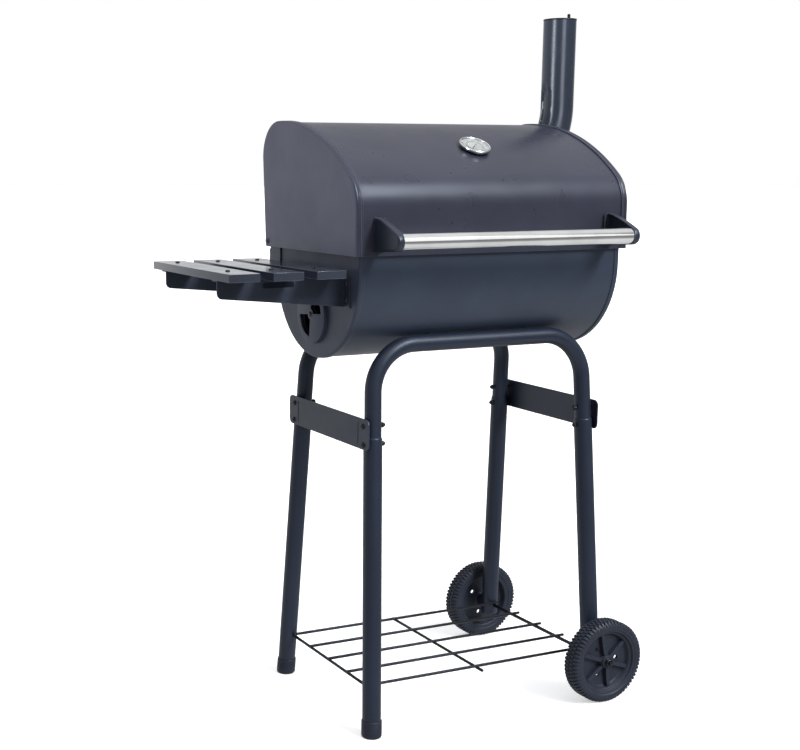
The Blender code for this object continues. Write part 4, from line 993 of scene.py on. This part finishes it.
def make_handle():
    """A polished tube whose ends sit in two pressed cups that reach back to the lid."""
    ends = [(0.99, 13.3), (0.995, 13.3), (0.9985, 13.0), (1.0, 12.4)]
    stations = [(-x, r) for x, r in reversed(ends)] + ends
    path = [at(x * HANDLE_HALF, HANDLE_Y, HANDLE_Z) for x, r in stations]
    put("handle_tube", tube(path, [(r, 11.8) for x, r in stations], 72), POLISHED, "lid", ["handle_bar"], angle=40)
    wall = -159.8
    line = even_line([(wall, 815.0)] + arc((HANDLE_Y, HANDLE_Z), 15.2, 265, 115, 30), 6.0)
    top = [line[-1], (-210.5, 854.8), (-201.5, 858.6), (-192.0, 862.3), (-182.0, 865.8), (-171.5, 868.8), (wall, 870.6)]
    line += [catmull(top, share / 4) for share in range(1, 25)]
    for side_x, column in ENDS:
        face = side_x * (HANDLE_HALF + 2.3)
        bm = pressed_cap(line, face, side_x, 11.5, -1, bend=4.0, sheet=1.6)
        put("handle_cup_" + column, bm, CUP_PAINT, "lid", ["handle_bracket_" + column], angle=40)
        near, far = sorted((face - side_x * 1.2, face - side_x * 18.0))
        bm = prism([(near, 816.2), (far, 816.2), (far, 869.4), (near, 869.4)], wall - 1.8, wall, on_y)
        put("handle_foot_" + column, bm, CUP_PAINT, "lid", bevel=0.0006, segments=3)


def catmull(points, place):
    """A point on a smooth curve through the given points."""
    index = min(int(place), len(points) - 2)
    t = place - index
    p = [Vector(points[min(max(index + k, 0), len(points) - 1)]) for k in (-1, 0, 1, 2)]
    value = 0.5 * ((2 * p[1]) + (p[2] - p[0]) * t + (2 * p[0] - 5 * p[1] + 4 * p[2] - p[3]) * t * t
                   + (3 * p[1] - p[0] - 3 * p[2] + p[3]) * t ** 3)
    return (value.x, value.y)


def make_thermometer():
    """Chromed case, silvery dial with plain marks and zones, needle and glass."""
    out = Vector((0.0, -186.36 / 395.0, 0.0))
    out.z = math.sqrt(1 - out.y ** 2)
    seat = at(9.5, 118.36 + out.y * 393.5, 633.0 + out.z * 393.5)
    right = Vector((1, 0, 0))
    up = out.cross(right)

    def piece(name, profile, finish, body="lid", replaces=(), sides=72):
        put(name, turned(profile, seat, out, sides), finish, body, replaces, angle=40)

    piece("dial_case", [
        (0, -52), (1.8, -51.6), (2.6, -50.4), (2.6, -16), (4, -16), (4, 0.8), (18.0, 0.8), (22.0, 1.2), (25.6, 2.1),
        (27.2, 3.4), (28.0, 4.9), (28.0, 6.9), (27.6, 7.9), (26.8, 8.5), (25.9, 8.6), (25.2, 8.2), (24.9, 7.5),
        (24.6, 6.6), (24.9, 4.2), (0, 4.2),
    ], CHROME, "lid", ["thermometer_case"])
    face = [(0, 4.4), (24.4, 4.4), (24.4, 4.8), (24.2, 5.0), (0, 5.0)]
    piece("dial_face", face, DIAL_PAINT, "lid", ["thermometer_dial"])
    window = [(0, 7.2), (24.2, 7.2), (24.4, 7.4), (24.4, 7.6), (22.0, 7.9), (12.0, 8.05), (0, 8.1)]
    piece("dial_window", window, GLASS, "lid", ["thermometer_lens"])

    def flat(name, outlines, low, high, finish, body="lid", replaces=()):
        bm = bmesh.new()
        for outline in outlines:
            prism(outline, low, high, lambda u, v, w: seat + (right * u + up * v + out * w) * MM, bm)
        put(name, bm, finish, body, replaces)

    ticks = []
    for step in range(28):
        angle = math.radians(225 - 10 * step)
        inner, half = (18.2, 0.35) if step % 3 == 0 else (20.2, 0.2)
        way = Vector((math.cos(angle), math.sin(angle)))
        side = Vector((-way.y, way.x)) * half
        spots = (way * inner + side, way * inner - side, way * 22.6 - side, way * 22.6 + side)
        ticks.append([tuple(spot) for spot in spots])
    flat("dial_marks", ticks, 4.98, 5.1, BLACK_INK)
    zones = [
        arc((0, 0), 16.6, first, last, 24) + arc((0, 0), 13.0, last, first, 24)
        for first, last in ((225, 150), (145, 60), (55, -45))
    ]
    flat("dial_zones", zones, 4.98, 5.06, GREY_INK)
    turn = Matrix.Rotation(math.radians(225), 2)
    needle = [(-7.0, 1.0), (-5.0, 1.2), (0.0, 1.3), (15.0, 0.6), (19.0, 0.25)]
    needle += [(u, -v) for u, v in reversed(needle)]
    outline = [tuple(turn @ Vector(spot)) for spot in needle]
    flat("dial_needle", [outline], 5.5, 6.0, NEEDLE_INK, "thermometer_needle", ["thermometer_needle"])
    piece("dial_boss", [(0, 6.0), (2.4, 6.0), (2.4, 6.5), (1.9, 6.9), (0, 7.0)], CHROME, "thermometer_needle", sides=32)


# ---------------------------------------------------------------- chimney

def chimney_path():
    """The pipe's middle line: upright, then bent towards the lid's right end."""
    bend_z, bend_r = 1062.0, 150.0
    path = [at(CHIMNEY_X, CHIMNEY_Y, CHIMNEY_TOP - (CHIMNEY_TOP - bend_z) * step / 20) for step in range(20)]
    for step in range(25):
        angle = CHIMNEY_TURN * step / 24
        path.append(at(CHIMNEY_X - bend_r * (1 - math.cos(angle)), CHIMNEY_Y, bend_z - bend_r * math.sin(angle)))
    way = Vector((-math.sin(CHIMNEY_TURN), 0, -math.cos(CHIMNEY_TURN)))
    return path + [path[-1] + way * 3.0 * MM]


def crease(place, arm):
    """Press the pipe in on the inside of its bend, up to a curved upper edge."""
    angle = math.degrees(math.acos(max(-1.0, min(1.0, arm.z * 0.2 - arm.x))))
    top = 1097.0 * MM - (angle / 28.0) ** 2 * 10.0 * MM
    share = min(1.0, max(0.0, (30.0 - angle) / 5.0)) * min(1.0, max(0.0, (top - place.z) / (4.0 * MM)))
    share = share * share * (3 - 2 * share)
    return place - arm * 4.6 * MM * share


def make_chimney():
    """Enamelled pipe with a crease inside its bend, a tab at its mouth and a flap on a stem."""
    path = chimney_path()
    bm = tube(path, [(CHIMNEY_R, 29.3)] * len(path), 128, OX + 263.4 * MM, crease)
    put("chimney_tube", bm, GLOSS_PAINT, "lid", ["chimney_pipe"], angle=50)
    tab_x, top = 338.0, 1216.0
    bm = prism([(tab_x - 7.0, 111.0), (347.9, 111.0), (347.9, 123.0), (tab_x - 7.0, 123.0)], top - 2.0, top, on_z)
    put("chimney_tab", bm, GLOSS_PAINT, "lid", bevel=0.0004)
    disc = [
        (0, 1.0), (29.7, 1.0), (29.9, 0.3), (30.7, 0.3), (31.0, 0.6), (31.0, 2.6), (30.7, 3.0), (30.0, 3.1), (0, 3.1),
    ]
    bm = turned(disc, at(CHIMNEY_X, CHIMNEY_Y, CHIMNEY_TOP), UP, 96)
    put("flap_disc", bm, FLAP_PAINT, "chimney_flap", ["chimney_flap"], angle=40)
    stem = [
        (0, -9.5), (1.9, -9.5), (2.3, -9.0), (2.3, 1.0), (5.0, 1.0), (5.0, 3.4), (4.6, 3.8), (4.8, 5.0), (4.4, 5.5),
        (2.9, 5.5), (2.9, 12.4), (2.5, 13.4), (1.6, 13.9), (0, 14.0),
    ]
    put("flap_stem", turned(stem, at(tab_x, CHIMNEY_Y, CHIMNEY_TOP), UP, 32), BLACK_STEEL, "chimney_flap", angle=40)


# ---------------------------------------------------------------- solids that stay on show

def dress_nodes():
    """Give the solids that stay on show their finish."""
    wanted = {
        "cooking_grate": ENAMEL,
        "charcoal_grate": WIRE_PAINT,
        "bowl_bolt_": BLACK_STEEL,
        "grate_ledge_": BOWL_PAINT,
        "thermometer_nut": BLACK_STEEL,
    }
    for name, obj in frame["nodes"].items():
        for start, finish in wanted.items():
            if name.startswith(start):
                obj.data.materials.clear()
                obj.data.materials.append(finish[0])


make_tubes()
make_feet()
make_plates()
make_plate_bolts()
make_rack()
make_axle()
make_wheel("front", -1, 4.0)
make_wheel("rear", 1, 20.0)
make_bowl()
make_damper()
make_slats()
make_brackets()
make_lid()
make_hinges()
make_handle()
make_thermometer()
make_chimney()
dress_nodes()


# ---------------------------------------------------------------- floor, light and camera

def make_stage():
    """A wide pale floor. Its own light keeps its shadows faint, and it throws none back at the grill."""
    material, shader, coords = new_material("floor_pale")
    feed(shader, {
        "Base Color": mix_colour(noise(coords, 3.0), (0.86, 0.86, 0.86), (0.88, 0.88, 0.88)),
        "Roughness": 0.9,
        "Specular IOR Level": 0.1,
        "Emission Color": (1, 1, 1, 1),
        "Emission Strength": 0.5,
    })
    bm = bmesh.new()
    bmesh.ops.create_circle(bm, cap_ends=True, segments=96, radius=60.0)
    floor = new_object(bm, "floor")
    floor.location = (0, 0, -0.0002)
    floor.visible_diffuse = False
    floor.visible_glossy = False
    floor.data.materials.append(material)


# Brightness of the studio in front and behind, by the height of the direction: straight down is -1, up is 1.
FRONT = (
    (-1.0, 0.45), (-0.85, 0.75), (-0.6, 0.85), (-0.45, 0.70), (-0.33, 0.34), (-0.15, 0.28), (0.3, 0.22), (0.5, 0.24),
    (0.70, 0.80), (1.0, 1.0),
)
BACK = (
    (-1.0, 0.45), (-0.6, 0.60), (-0.2, 0.70), (0.0, 0.92), (0.10, 0.85), (0.28, 0.42), (0.6, 0.50), (0.8, 0.90),
    (1.0, 1.0),
)
# Where the soft box over the front stands: by height, and from left (-1) to right (1).
BOX_HEIGHT = ((-1.0, 0.0), (0.42, 0.0), (0.50, 1.0), (0.74, 1.0), (0.84, 0.0), (1.0, 0.0))
BOX_ACROSS = ((-1.0, 0.0), (0.16, 0.0), (0.26, 1.0), (0.40, 1.0), (0.48, 0.0), (1.0, 0.0))
BOX_POWER = 26.0
BLACK = (0.0, 0.0, 0.0)


def ramp(height, stops):
    """A grey that follows a list of (position from -1 to 1, brightness)."""
    node = add_node(height.id_data, "ValToRGB", {"Fac": height})
    elements = node.color_ramp.elements
    elements[0].position = 0.0
    elements[1].position = 1.0
    for level, value in stops[1:-1]:
        elements.new((level + 1) / 2)
    for element, (level, value) in zip(elements, stops):
        element.color = (value * 0.97, value * 0.985, value, 1.0)
    return node.outputs["Color"]


def make_world():
    """White behind the grill for the camera; a sweep that is dim at eye level in front and bright above."""
    world = bpy.data.worlds.new("studio")
    bpy.context.scene.world = world
    world.use_nodes = True
    tree = world.node_tree
    tree.nodes.clear()
    coords = add_node(tree, "TexCoord", {}).outputs["Generated"]
    x, y, z = add_node(tree, "SeparateXYZ", {"Vector": coords}).outputs
    height = spread(z, low=-1.0, high=1.0)
    behind = spread(y, low=0.05, high=0.6)
    sweep = mix_colour(behind, ramp(height, FRONT), ramp(height, BACK))
    across = ramp(spread(x, low=-1.0, high=1.0), BOX_ACROSS)
    soft_box = mix_colour(across, BLACK, ramp(height, BOX_HEIGHT))
    soft_box = mix_colour(spread(y, low=0.0, high=-0.2), BLACK, soft_box)
    soft_box = vector_math(tree, "SCALE", {0: soft_box, "Scale": BOX_POWER})["Vector"]
    total = vector_math(tree, "ADD", {0: sweep, 1: soft_box})["Vector"]
    room = add_node(tree, "Background", {"Color": total})
    white = add_node(tree, "Background", {"Color": (1, 1, 1, 1)})
    seen = add_node(tree, "LightPath", {}).outputs["Is Camera Ray"]
    mix = add_node(tree, "MixShader", {"Fac": seen, 1: room.outputs[0], 2: white.outputs[0]})
    add_node(tree, "OutputWorld", {"Surface": mix.outputs["Shader"]})


def light(name, kind, power, way):
    """A lamp that shines along way."""
    data = bpy.data.lights.new(name, kind)
    data.energy = power
    obj = link(bpy.data.objects.new(name, data))
    obj.rotation_euler = Vector(way).to_track_quat("-Z", "Y").to_euler()
    return obj


def area(name, place, target, size_x, size_y, power, group):
    """A rectangular lamp that lights only the pieces of one group."""
    obj = light(name, "AREA", power, Vector(target) - Vector(place))
    obj.location = place
    obj.data.shape = "RECTANGLE"
    obj.data.size = size_x
    obj.data.size_y = size_y
    obj.light_linking.receiver_collection = group


def pieces(name, members):
    group = bpy.data.collections.new(name)
    for member in members:
        group.objects.link(bpy.data.objects[member])
    return group


def make_light():
    """Faint overhead sun, and boxes that only the glossy or the polished pieces reflect."""
    light("sun_above", "SUN", 0.35, (0.05, 0.30, -1.0)).data.angle = math.radians(40)
    shiny = ("handle_tube", "dial_case")
    glossy = pieces("glossy_pieces", ("chimney_tube", "chimney_tab", "flap_disc", *shiny, "dial_window"))
    polished = pieces("polished_pieces", shiny)
    area("box_left", (-2.6, -0.68, 1.2), (0.3, 0, 1.0), 0.8, 2.4, 70, glossy)
    area("box_front", (0.1, -3.3, 1.5), (0.2, 0, 1.0), 1.3, 1.6, 30, glossy)
    area("box_right", (2.2, -3.3, 2.7), (0.0, -0.2, 0.9), 1.6, 2.9, 14, polished)


def make_camera():
    """Aim the camera from its measured place, turn, tilt and roll."""
    place = Vector((OX - 1.32246, OY + 7.2 * MM - 2.06491, 0.95242))
    yaw, pitch, roll = (math.radians(a) for a in (24.18, -9.66, -0.09))
    ahead = Vector((math.sin(yaw) * math.cos(pitch), math.cos(yaw) * math.cos(pitch), math.sin(pitch)))
    right = ahead.cross(Vector((0, 0, 1))).normalized()
    above = right.cross(ahead)
    level_right = right * math.cos(roll) + above * math.sin(roll)
    level_up = above * math.cos(roll) - right * math.sin(roll)
    data = bpy.data.cameras.new("camera")
    data.sensor_width = 36.0
    data.lens = 1362.16 * 36.0 / 800.0
    data.shift_x = 0.2
    data.shift_y = 0.0277
    data.clip_end = 200.0
    camera = bpy.data.objects.new("camera", data)
    turn = Matrix((level_right, level_up, -ahead)).transposed().to_4x4()
    camera.matrix_world = Matrix.Translation(place) @ turn
    bpy.context.scene.collection.objects.link(camera)
    bpy.context.scene.camera = camera


make_stage()
make_world()
make_light()
make_camera()
bpy.context.scene.view_settings.view_transform = "Standard"
